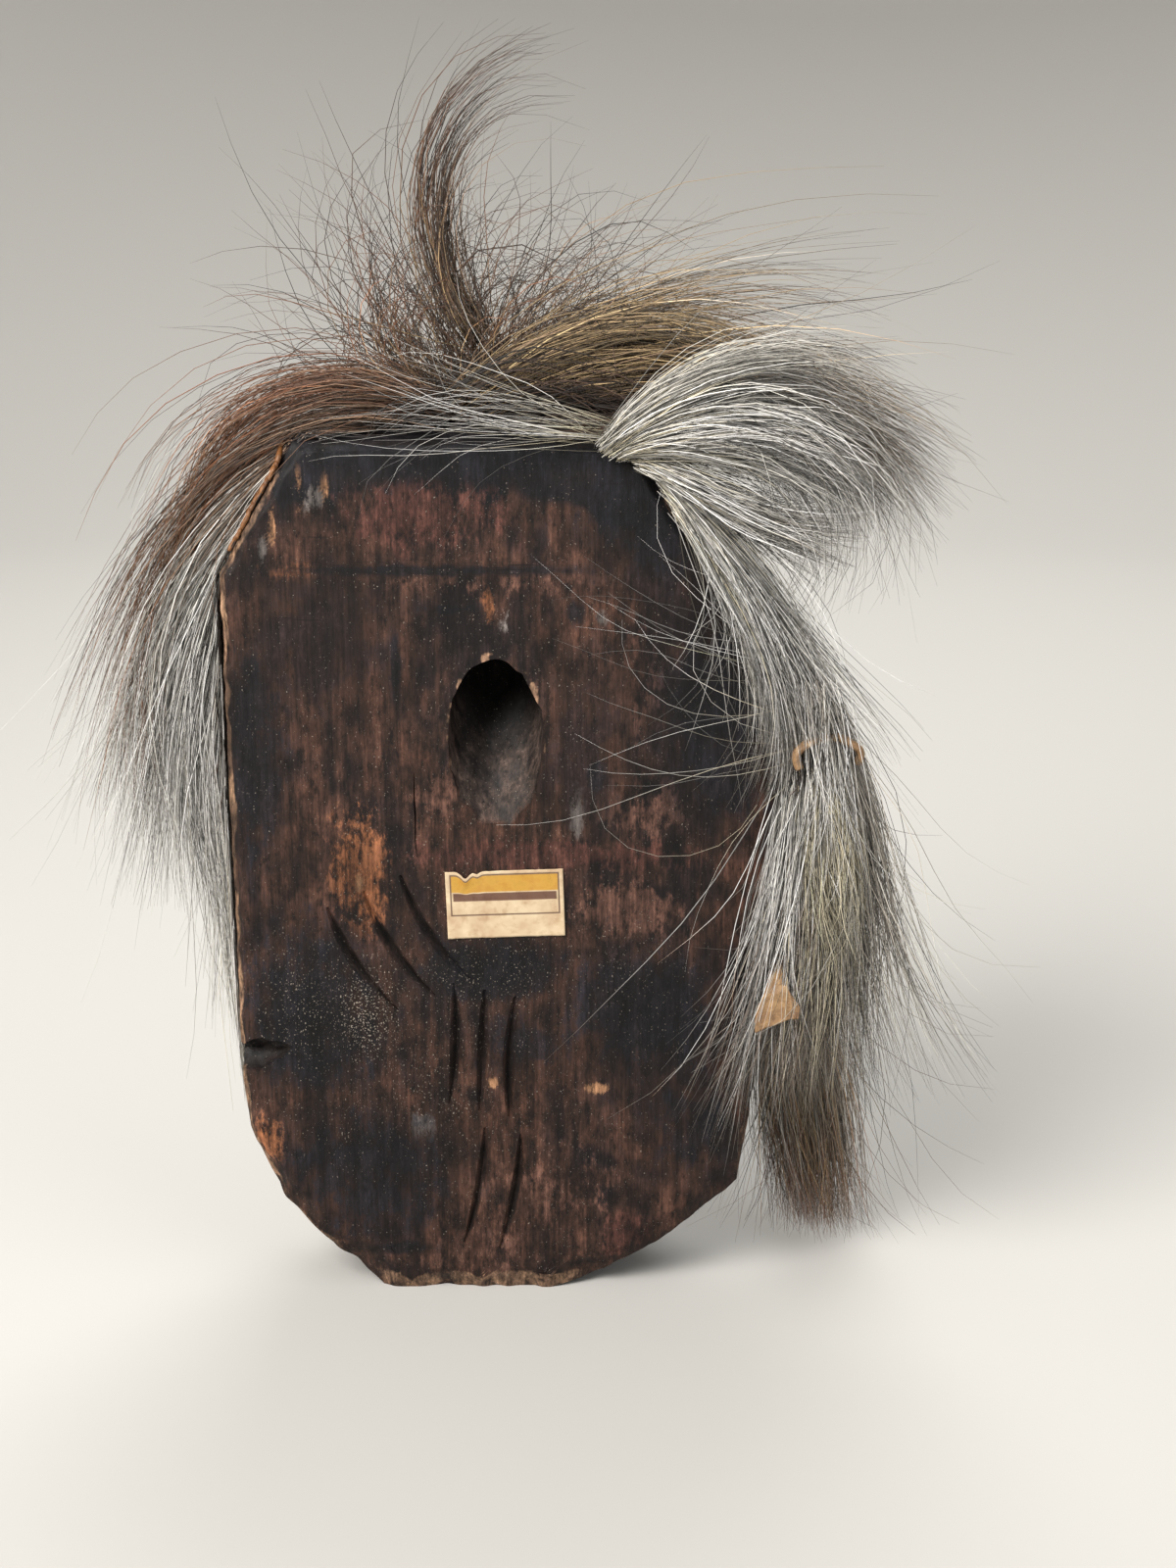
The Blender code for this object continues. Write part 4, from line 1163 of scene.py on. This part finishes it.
# %% Guides
# Each guide: root x and z as shares of the block's width and height, direction at the root, in
# the middle and at the tip in degrees from +X, and length as a share of the hair's length.
HAIR_LENGTH = 0.130
LEFT_GUIDES = ((-0.020, 1.040, 136, 204, 282, 0.90), (-0.080, 1.030, 154, 236, 280, 0.96),
               (-0.220, 1.010, 192, 254, 268, 1.08), (-0.330, 0.950, 220, 258, 266, 0.96),
               (-0.403, 0.854, 242, 268, 276, 0.84), (-0.413, 0.745, 254, 274, 286, 0.84),
               (-0.416, 0.603, 262, 280, 288, 0.78))
TOP_GUIDES = ((-0.052, 1.034, 48, 10, -30, 0.94), (0.010, 1.018, 36, 0, -50, 1.04),
              (0.090, 1.006, 28, -4, -56, 0.98), (0.140, 1.004, 30, 2, -50, 0.90))
TUFT_GUIDES = ((0.010, 1.110, 134, 98, 6, 0.80), (0.014, 1.110, 130, 98, 0, 0.76),
               (0.019, 1.110, 124, 94, -16, 0.62))
SPRAY_GUIDES = ((-0.060, 1.030, 168, 130, 10, 0.58), (0.000, 1.030, 138, 110, 10, 0.68),
                (0.040, 1.030, 96, 60, -70, 0.64), (0.090, 1.030, 66, 24, -110, 0.60),
                (0.140, 1.030, 44, 20, -110, 0.48))
FAN_GUIDES = ((0.225, 1.004, 54, 26, -40, 0.68), (0.245, 1.000, 34, 12, -66, 0.68),
              (0.262, 0.998, 16, 2, -64, 0.58), (0.275, 0.996, 2, -6, -36, 0.50))
HOOK_GUIDES = ((0.240, 1.002, 34, 10, -120, 0.86), (0.260, 0.998, 12, -6, -128, 0.76))
MIDDLE_GUIDES = ((0.282, 0.992, -14, -28, -30, 0.48), (0.305, 0.982, -30, -38, -20, 0.46))
LOW_GUIDES = ((0.312, 0.980, -38, -56, -94, 0.82), (0.335, 0.965, -42, -60, -94, 0.78),
              (0.350, 0.945, -48, -62, -86, 0.68), (0.362, 0.928, -56, -62, -68, 0.52))
SIDE_GUIDES = ((0.560, 0.780, -92, -96, -96, 0.40), (0.570, 0.700, -92, -96, -98, 0.44),
               (0.558, 0.590, -92, -94, -98, 0.40))
OVER_LOOP_GUIDES = ((0.576, 0.740, -66, -80, -100, 0.44), (0.600, 0.735, -84, -88, -92, 0.50))
CREAM_GUIDES = ((0.600, 0.620, -116, -86, -84, 0.36), (0.616, 0.622, -44, -88, -120, 0.38))
RIGHT_GUIDES = ((0.562, 0.668, -94, -102, -116, 0.94), (0.572, 0.672, -90, -94, -100, 0.80),
                (0.590, 0.678, -82, -88, -94, 0.84), (0.602, 0.690, -74, -95, -95, 0.88),
                (0.614, 0.715, -58, -98, -90, 0.90))
TAIL_GUIDES = ((0.520, 0.425, -88, -84, -80, 0.82), (0.545, 0.430, -78, -84, -84, 0.94),
               (0.570, 0.440, -66, -86, -90, 0.94))
VEIL_GUIDES = ((0.250, 1.012, 184, 176, 168, 0.44), (0.225, 1.016, 174, 176, 180, 0.58),
               (0.230, 1.024, 152, 174, 192, 0.46))
CROSS_GUIDES = ((0.500, 0.830, 160, 158, 140, 0.40), (0.552, 0.760, 172, 160, 130, 0.50),
                (0.560, 0.690, 186, 170, 130, 0.60), (0.560, 0.660, 222, 240, 262, 0.66))
# Each depth: distance of the strands' middle from the flat back at the root and at the tip, and
# half their spread at the root, in the middle and at the tip, as shares of the rim's depth.
LEFT_DEPTH = (0.62, 0.60, 0.42, 0.57, 0.40)
TOP_DEPTH = (0.82, 0.86, 0.38, 0.50, 0.40)
TUFT_DEPTH = (0.86, 0.86, 0.15, 0.25, 0.35)
WHITE_DEPTH = (-0.06, -0.12, 0.12, 0.36, 0.36)
RIGHT_DEPTH = (0.00, 0.00, 0.22, 0.43, 0.40)
TAIL_DEPTH = (1.21, 1.18, 0.30, 0.39, 0.35)
VEIL_DEPTH = (-0.10, -0.14, 0.06, 0.10, 0.10)
CROSS_DEPTH = (-0.16, -0.16, 0.08, 0.10, 0.10)
STRAND_STEPS = 8
LOCK_SPREAD = 0.0026        # how far a lock is open at its tip
DEPTH_SPREAD = 0.0030       # how far single tips lie out of their layer


def lines(x0, z0, first, middle, last, length, curl):
    """Points of many lines at once. Each turns from its first to its last direction along a
    quadratic blend, and curls more and more towards its tip, so that its points are the
    running sum of its directions."""
    along = (np.arange(STRAND_STEPS) + 0.5) / STRAND_STEPS
    angle = ((1 - along) ** 2 * first[:, None] + 2 * along * (1 - along) * middle[:, None]
             + along ** 2 * last[:, None] + along ** 1.7 * curl[:, None])
    zero = np.zeros((len(x0), 1))
    step = (length / STRAND_STEPS)[:, None]
    run_x = np.concatenate([zero, np.cumsum(np.cos(np.radians(angle)), axis=1)], axis=1)
    run_z = np.concatenate([zero, np.cumsum(np.sin(np.radians(angle)), axis=1)], axis=1)
    return x0[:, None] + run_x * step, z0[:, None] + run_z * step


def guided(table, where, jitter, rng):
    """Guide values at places from 0 to 1 across a pelt, with a random turn of each direction."""
    knots = np.linspace(0.0, 1.0, len(table))
    values = [np.interp(where, knots, column) for column in table.T]
    for number, degrees in ((2, 5.0), (3, 5.0), (4, 10.0)):
        values[number] = values[number] + rng.normal(0.0, degrees, len(where)) * jitter
    return values


def lock_points(lock_lines, lock, share, reach):
    """Each strand's points on its lock's line; a short strand has only its first part."""
    place = np.minimum(reach * share[:, None], 1.0) * STRAND_STEPS
    low = np.minimum(place.astype(int), STRAND_STEPS - 1)
    row = lock[:, None]
    return [mix(line[row, low], line[row, low + 1], place - low) for line in lock_lines]


def strands(guides, depth, count, locks, seed, clump=0.6, stray=0.06, loose=1.0, curl=12.0,
            shortest=0.6, root=0.0018, lean=1.0):
    """Lines of a pelt's strands, as points by strand and step, with each strand's place across
    the pelt. A strand leans towards the line of its lock, and a stray one hardly does."""
    rng = np.random.default_rng(seed)
    table = np.array(guides, float) * (BLOCK_WIDTH, BLOCK_HEIGHT, 1.0, 1.0, 1.0, HAIR_LENGTH)
    across = rng.random(count) ** lean
    layer = rng.uniform(-1.0, 1.0, count)
    strays = rng.random(count) < stray
    wild = np.where(strays, 2.6, 1.0) * loose
    own = guided(table, across, wild, rng)
    own[0] = own[0] + rng.normal(0.0, root, count)
    own[1] = own[1] + rng.normal(0.0, root, count)
    size = shortest + (1.04 - shortest) * rng.random(count) ** 0.7
    own[5] = own[5] * size * np.where(strays, 1.1, 1.0)
    x, z = lines(*own, rng.normal(0.0, curl, count) * np.where(strays, 1.4, 1.0))
    lock = np.clip(np.floor(across * locks + rng.normal(0.0, 0.25, count)), 0, locks - 1).astype(int)
    lock_at = (np.arange(locks) + 0.5) / locks
    lock_values = guided(table, lock_at, np.full(locks, 1.2), rng)
    lock_values[5] = lock_values[5] * rng.uniform(0.82, 1.04, locks)
    lock_lines = lines(*lock_values, rng.normal(0.0, curl * 1.2, locks))
    reach = np.linspace(0.0, 1.0, STRAND_STEPS + 1)[None, :]
    tip_x, tip_z = lock_points(lock_lines, lock, own[5] / lock_values[5][lock], reach)
    tip_x = tip_x + rng.normal(0.0, LOCK_SPREAD, count)[:, None] * reach
    tip_z = tip_z + rng.normal(0.0, LOCK_SPREAD, count)[:, None] * reach
    pull = clump * rng.uniform(0.5, 1.0, count)[:, None] * smooth(reach, 0.10, 0.9)
    pull = pull * np.where(strays, 0.1, 1.0)[:, None]
    x, z = mix(x, tip_x, pull), mix(z, tip_z, pull)
    root_in, tip_in, half_root, half_middle, half_tip = (share * RIM_DEPTH for share in depth)
    half = np.interp(reach, (0.0, 0.4, 1.0), (half_root, half_middle, half_tip))
    deep = mix(layer[:, None], rng.uniform(-0.8, 0.8, locks)[lock][:, None], pull)
    y = BACK_Y + root_in + (tip_in - root_in) * reach + deep * half
    y = y + rng.normal(0.0, DEPTH_SPREAD, count)[:, None] * reach ** 1.5 * np.minimum(wild, 2.0)[:, None]
    phase = rng.uniform(0.0, 2 * math.pi, (3, count))[..., None]
    turns = 2 * math.pi * rng.uniform(0.6, 2.2, count)[:, None] * reach
    sway = 0.0010 * reach * wild[:, None] ** 0.6
    wave = [sway * np.sin(turns + phase[k]) for k in range(3)]
    return triple(x + wave[0], y + wave[1], z + wave[2]), across


print(len(LEFT_GUIDES), "guides on the left,", len(TOP_GUIDES), "on the top and",
      len(RIGHT_GUIDES), "on the right")


# %% Keep the hair off the wood
SIDE_GAP = 0.0012           # between a strand and the block's side
CROWN_GAP = 0.0014          # and its top
BACK_GAP = 0.0007           # and its flat back
FLOOR_GAP = 0.004
# The room for hair: the solids' box and a little more on all sides but the lowest.
HAIR_LOW = np.array(CAD_LOW) - (0.016, 0.011, -0.003)
HAIR_HIGH = np.array(CAD_HIGH) + (0.016, 0.011, 0.017)


def off_the_block(points, over_back):
    """Moves points that fall inside the block to its surface. Hair that lies over the back goes
    out in front of it, and other hair goes to the nearer of the side and the top."""
    x, y, z = points[..., 0], points[..., 1], points[..., 2]
    up = np.clip(z / BLOCK_HEIGHT, 0.0, 1.0)
    left, right = sides(up)
    left, right = left - SIDE_GAP, right + SIDE_GAP
    inside = np.clip((y - BACK_Y) / RIM_DEPTH, 0.0, 1.0)
    top = BLOCK_HEIGHT + crown_rise(inside) + CROWN_GAP
    front = BACK_Y + RIM_DEPTH + 0.6 * FACE_SWELL
    within = (x > left) & (x < right) & (z < top) & (y < front)
    to_side, to_top = np.minimum(x - left, right - x), top - z
    if over_back:
        room = np.minimum(to_side, to_top)
        ahead = BACK_Y - BACK_GAP - 0.0030 * np.clip((y - BACK_Y + 0.010) / 0.020, 0.0, 1.0)
        moved = within & (y > BACK_Y - BACK_GAP) & (room > 0.0015)
        y = np.where(moved, ahead, y)
    else:
        use_top = within & (to_top < to_side)
        z = np.where(use_top, top, z)
        nearer = np.where(x - left < right - x, left, right)
        x = np.where(within & ~use_top, nearer, x)
    return triple(x, y, z)


def fitted(points):
    """Shortens a strand towards its root until all of it is inside the room for hair."""
    root = points[:, :1]
    away = points - root
    room = np.where(away > 0.0, HAIR_HIGH - root, root - HAIR_LOW)
    share = np.where(np.abs(away) > 1e-6, np.abs(room) / (np.abs(away) + 1e-9), 9.0)
    return root + away * np.minimum(share.min(axis=(1, 2)), 1.0)[:, None, None]


def ease(points):
    """Evens out a line's inner points, so that a moved stretch has no sharp corner."""
    points[:, 1:-1] = (points[:, :-2] + 2.0 * points[:, 1:-1] + points[:, 2:]) / 4.0
    return points


print("clearance check:", off_the_block(np.array([[[0.0, 0.0, 0.24]]]), False).round(4).tolist())


# %% Turn lines into strand meshes
def strand_mesh(name, points, width, colours, node_name, material):
    """Three-sided tubes along all lines at once. Each ring lies square to its line and shrinks
    towards the tip, and a triangle closes either end."""
    count, rings = points.shape[:2]
    ahead = np.gradient(points, axis=1)
    ahead /= np.linalg.norm(ahead, axis=-1, keepdims=True) + 1e-12
    first = np.cross(ahead, (0.0, 1.0, 0.0))
    first /= np.linalg.norm(first, axis=-1, keepdims=True) + 1e-9
    second = np.cross(ahead, first)
    share = np.linspace(0.0, 1.0, rings)
    taper = np.interp(share, (0.0, 0.1, 0.6, 1.0), (0.8, 1.0, 0.85, 0.16))
    radius = width[:, None] / 2 * taper[None, :]
    turn = np.arange(3) * 2 * math.pi / 3
    ring = (first[:, :, None] * np.cos(turn)[:, None] + second[:, :, None] * np.sin(turn)[:, None])
    corners = points[:, :, None] + ring * radius[:, :, None, None]
    base = (np.arange(count) * rings * 3)[:, None, None, None]
    i = np.arange(rings - 1)[None, :, None, None] * 3
    k = np.arange(3)[None, None, :, None]
    n = (k + 1) % 3
    low = np.concatenate([base + i + k, base + i + n, base + i + 3 + n], axis=-1)
    high = np.concatenate([base + i + k, base + i + 3 + n, base + i + 3 + k], axis=-1)
    start = np.arange(count)[:, None] * rings * 3
    root_cap = start + np.array([[0, 2, 1]])
    tip_cap = start + (rings - 1) * 3 + np.array([[0, 1, 2]])
    faces = np.concatenate([low.reshape(-1, 3), high.reshape(-1, 3), root_cap, tip_cap])
    made = mesh_object(name, corners, faces)
    paint(made, "tint", np.repeat(colours.reshape(-1, 3), 3, axis=0))
    finish_piece(made, node_name, material)


def hair_material(name):
    """Hair colour comes from each strand's own tint, with a soft gloss along the strands."""
    made, tree, shader = new_material(name)
    tint = node(tree, "ShaderNodeAttribute", attribute_name="tint").outputs["Color"]
    uneven = grain_noise(tree, 900.0, 0.6, 2.0)
    share = ranged(tree, uneven, 0.35, 0.8, 0.0, 0.35)
    varied = blend(tree, "MULTIPLY", share, tint, hexed("8c7a68"))
    tree.links.new(varied, shader.inputs["Base Color"])
    fill(shader, {"Roughness": 0.48, "Specular IOR Level": 0.35, "Sheen Weight": 0.10,
                  "Sheen Roughness": 0.4})
    return made


coarse_hair = hair_material("coarse_goat_hair")
print("hair material ready")

# %% [markdown]
# ### Colour of the hair
#
# A goat's guard hair changes colour along its length, and the tone changes slowly across the
# pelt. Each pelt names its root, middle and tip colours at a few places across it, and every
# strand adds its own lightness.

# %% Tints
RUSSET = hexed("68442e")
DARK_BROWN = hexed("3c2c22")
HAIR_BROWN = hexed("705a48")
BLOND = hexed("95805f")
CREAM = hexed("c2b9a0")
WHITE = hexed("e4e3e1")
SILVER = hexed("a9a7a1")
ASH = hexed("857f76")
SLATE = hexed("554e46")
SHADE_BLACK = hexed("261c16")
BANDS = 30                  # lighter and darker bands across a pelt
LIGHTNESS_SPREAD = 0.40
DARK_STRAND, LIGHT_STRAND = 0.26, 1.24


def tints(points, across, seed, palette, dark=0.34):
    """Colour at each point of each strand, between the palette's rows across the pelt and its
    root, middle and tip colours along it."""
    rng = np.random.default_rng(seed)
    count, rings = points.shape[:2]
    rows = np.array(palette)
    where = np.clip(across + rng.normal(0.0, 0.09, count), 0.0, 1.0) * (len(rows) - 1)
    low = np.floor(where).astype(int)
    high = np.minimum(low + 1, len(rows) - 1)
    pick = np.where((rng.random(count) < where - low)[:, None, None], rows[high], rows[low])
    shift = rng.normal(0.0, 0.14, count)[:, None]
    along = np.clip(np.linspace(0.0, 1.0, rings)[None, :] + shift, 0.0, 1.0)[..., None]
    colour = ramp(pick[:, None, 0], pick[:, None, 1], pick[:, None, 2], along)
    light = np.exp(rng.normal(0.0, LIGHTNESS_SPREAD, count))
    light = light * np.where(rng.random(count) < dark, DARK_STRAND, LIGHT_STRAND)
    bands = rng.uniform(0.60, 1.20, BANDS)
    light = light * bands[(across * (BANDS - 0.01)).astype(int)]
    return np.clip(colour * light[:, None, None], 0.0, 0.95)


LEFT_PALETTE = ((HAIR_BROWN, RUSSET, HAIR_BROWN), (DARK_BROWN, RUSSET, RUSSET),
                (HAIR_BROWN, HAIR_BROWN, RUSSET), (HAIR_BROWN, SILVER, SILVER),
                (SILVER, WHITE, SILVER), (SILVER, WHITE, SILVER), (ASH, WHITE, SILVER),
                (SILVER, WHITE, CREAM), (ASH, SILVER, ASH))
TOP_PALETTE = ((HAIR_BROWN, BLOND, HAIR_BROWN), (BLOND, BLOND, ASH),
               (HAIR_BROWN, BLOND, HAIR_BROWN), (DARK_BROWN, HAIR_BROWN, ASH),
               (DARK_BROWN, DARK_BROWN, SLATE))
TUFT_PALETTE = ((BLOND, RUSSET, DARK_BROWN), (HAIR_BROWN, DARK_BROWN, DARK_BROWN),
                (BLOND, HAIR_BROWN, SLATE))
WHITE_PALETTE = ((SILVER, SILVER, ASH), (CREAM, SILVER, SLATE), (SILVER, WHITE, ASH),
                 (CREAM, WHITE, ASH), (SILVER, WHITE, SILVER), (CREAM, SILVER, SILVER))
RIGHT_PALETTE = ((SILVER, WHITE, ASH), (SILVER, WHITE, HAIR_BROWN), (CREAM, CREAM, SLATE),
                 (SILVER, ASH, SLATE), (ASH, ASH, SILVER))
TAIL_PALETTE = ((ASH, SILVER, RUSSET), (ASH, BLOND, RUSSET), (SILVER, ASH, HAIR_BROWN))
# Painted shade: near black colours for the short down under the locks.
SHADE_PALETTE = ((SHADE_BLACK, SHADE_BLACK, DARK_BROWN), (SHADE_BLACK, DARK_BROWN, SHADE_BLACK))
CREAM_PALETTE = ((SILVER, CREAM, CREAM), (CREAM, CREAM, SILVER))
SILVER_PALETTE = ((ASH, SILVER, WHITE), (SILVER, WHITE, SILVER))
PALE_PALETTE = ((CREAM, WHITE, WHITE), (CREAM, SILVER, WHITE))
print("palettes ready")

# %% [markdown]
# Each pelt is a few groups of strands: its main locks, the short hair close to the skin, coloured
# near black as painted shade, and single long hairs that lie over the wood, the loop or the next pelt.

# %% Grow the pelts
def grow(name, guides, depth, palette, pelt, count, locks, width=0.00025, over_back=False,
         dark=0.34, **habits):
    """Strands of one group, kept off the wood and turned into a mesh."""
    node_name, slot, seed = pelt
    points, across = strands(guides, depth, count, locks, seed, **habits)
    points = off_the_block(ease(off_the_block(fitted(points), over_back)), over_back)
    points[..., 2] = np.maximum(points[..., 2], FLOOR_GAP)
    widths = width * np.exp(np.random.default_rng(seed + 50).normal(0.0, 0.20, count))
    strand_mesh(name, points, widths, tints(points, across, seed + 80, palette, dark), node_name,
                coarse_hair)


def next_seed(pelt, step):
    """The same pelt with other random draws."""
    node_name, slot, seed = pelt
    return node_name, slot, seed + step


def shortened(guides, share):
    """The same guides with only a share of their length, for the down near the skin."""
    return tuple(guide[:5] + (guide[5] * share,) for guide in guides)


LEFT = ("pelt_left", "brown_white_hair", 101)
TOP = ("pelt_top", "blond_brown_hair", 102)
WHITE_PELT = ("pelt_white", "white_hair", 104)
RIGHT = ("pelt_right", "grey_white_hair", 105)
TAIL = ("pelt_tail", "russet_grey_hair", 106)

grow("hair_left", LEFT_GUIDES, LEFT_DEPTH, LEFT_PALETTE, LEFT, 3100, 24, clump=0.76, shortest=0.42,
     loose=1.0, curl=16.0, lean=0.85, stray=0.03, dark=0.20)
# The short down under each pelt is coloured near black as painted shade.
grow("shade_down_left", shortened(LEFT_GUIDES, 0.20), (0.40, 0.36, 0.34, 0.34, 0.20), SHADE_PALETTE, LEFT,
     300, 20, 0.00040, clump=0.3, root=0.0030)
grow("hair_top", TOP_GUIDES, TOP_DEPTH, TOP_PALETTE, TOP, 2100, 16, clump=0.74, shortest=0.42,
     loose=1.2, curl=18.0, root=0.0022)
grow("shade_down_top", shortened(TOP_GUIDES, 0.40), (0.50, 0.46, 0.34, 0.30, 0.20), SHADE_PALETTE, TOP,
     300, 9, 0.00040, clump=0.3, root=0.0050)
grow("hair_tuft", TUFT_GUIDES, TUFT_DEPTH, TUFT_PALETTE, TOP, 150, 3, 0.00027, clump=0.90,
     stray=0.16, loose=0.6, curl=24.0, shortest=0.34, root=0.0022)
grow("hair_spray", SPRAY_GUIDES, TUFT_DEPTH, TUFT_PALETTE, TOP, 900, 18, 0.00026, clump=0.12,
     stray=0.08, loose=2.4, curl=150.0, shortest=0.25, root=0.0060)
grow("fan_white", FAN_GUIDES, WHITE_DEPTH, WHITE_PALETTE, WHITE_PELT, 1400, 11, over_back=True,
     clump=0.80, stray=0.03, shortest=0.45, root=0.0011, loose=1.2, curl=22.0)
grow("hook_white", HOOK_GUIDES, WHITE_DEPTH, WHITE_PALETTE, next_seed(WHITE_PELT, 30), 160, 4,
     over_back=True, clump=0.6, stray=0.08, shortest=0.60, root=0.0011, loose=1.4, curl=34.0)
grow("middle_white", MIDDLE_GUIDES, WHITE_DEPTH, WHITE_PALETTE, next_seed(WHITE_PELT, 10), 560, 5,
     over_back=True, clump=0.80, stray=0.03, shortest=0.45, root=0.0011, loose=1.2, curl=26.0)
grow("low_white", LOW_GUIDES, WHITE_DEPTH, WHITE_PALETTE, next_seed(WHITE_PELT, 20), 1500, 11,
     over_back=True, clump=0.78, stray=0.04, shortest=0.40, root=0.0011, loose=0.9, curl=20.0)
grow("veil_white", VEIL_GUIDES, VEIL_DEPTH, PALE_PALETTE, WHITE_PELT, 60, 8, 0.00016, over_back=True,
     loose=1.6, curl=26.0, clump=0.2)
grow("hair_right", RIGHT_GUIDES, RIGHT_DEPTH, RIGHT_PALETTE, RIGHT, 2500, 20, over_back=True,
     clump=0.78, stray=0.04, shortest=0.35, root=0.0018, loose=1.2, curl=24.0, lean=0.86, dark=0.30)
grow("shade_down_right", shortened(RIGHT_GUIDES, 0.10), (-0.22, -0.20, 0.08, 0.08, 0.06), SHADE_PALETTE,
     RIGHT, 160, 5, 0.00034, over_back=True, clump=0.2, root=0.0020)
grow("over_loop", OVER_LOOP_GUIDES, (-0.30, -0.46, 0.08, 0.02, 0.06), SILVER_PALETTE,
     next_seed(RIGHT, 30), 100, 3, 0.00020, over_back=True, clump=0.4, shortest=0.5, loose=1.6,
     curl=26.0, root=0.0024)
grow("cream_lock", CREAM_GUIDES, (-0.36, -0.40, 0.02, 0.05, 0.06), CREAM_PALETTE,
     next_seed(RIGHT, 50), 220, 2, 0.00025, over_back=True, clump=0.85, shortest=0.6, loose=0.8,
     curl=14.0, root=0.0012)
grow("side_right", SIDE_GUIDES, (0.40, 0.46, 0.34, 0.36, 0.30), RIGHT_PALETTE, next_seed(RIGHT, 40),
     500, 14, clump=0.6, stray=0.03, root=0.0020, curl=14.0)
grow("cross_right", CROSS_GUIDES, CROSS_DEPTH, PALE_PALETTE, RIGHT, 26, 10, 0.00014, over_back=True,
     loose=2.0, curl=30.0, clump=0.1, root=0.006)
grow("hair_tail", TAIL_GUIDES, TAIL_DEPTH, TAIL_PALETTE, TAIL, 1500, 10, clump=0.75, shortest=0.5,
     loose=1.2, curl=16.0, dark=0.20)

# %% [markdown]
# ## Finish
#
# The box of the solids is printed. The visual model has to stay close to the box of the
# solids.

# %% Sizes and finish
print("CAD box", [round(v, 3) for v in (*CAD_LOW, *CAD_HIGH)])
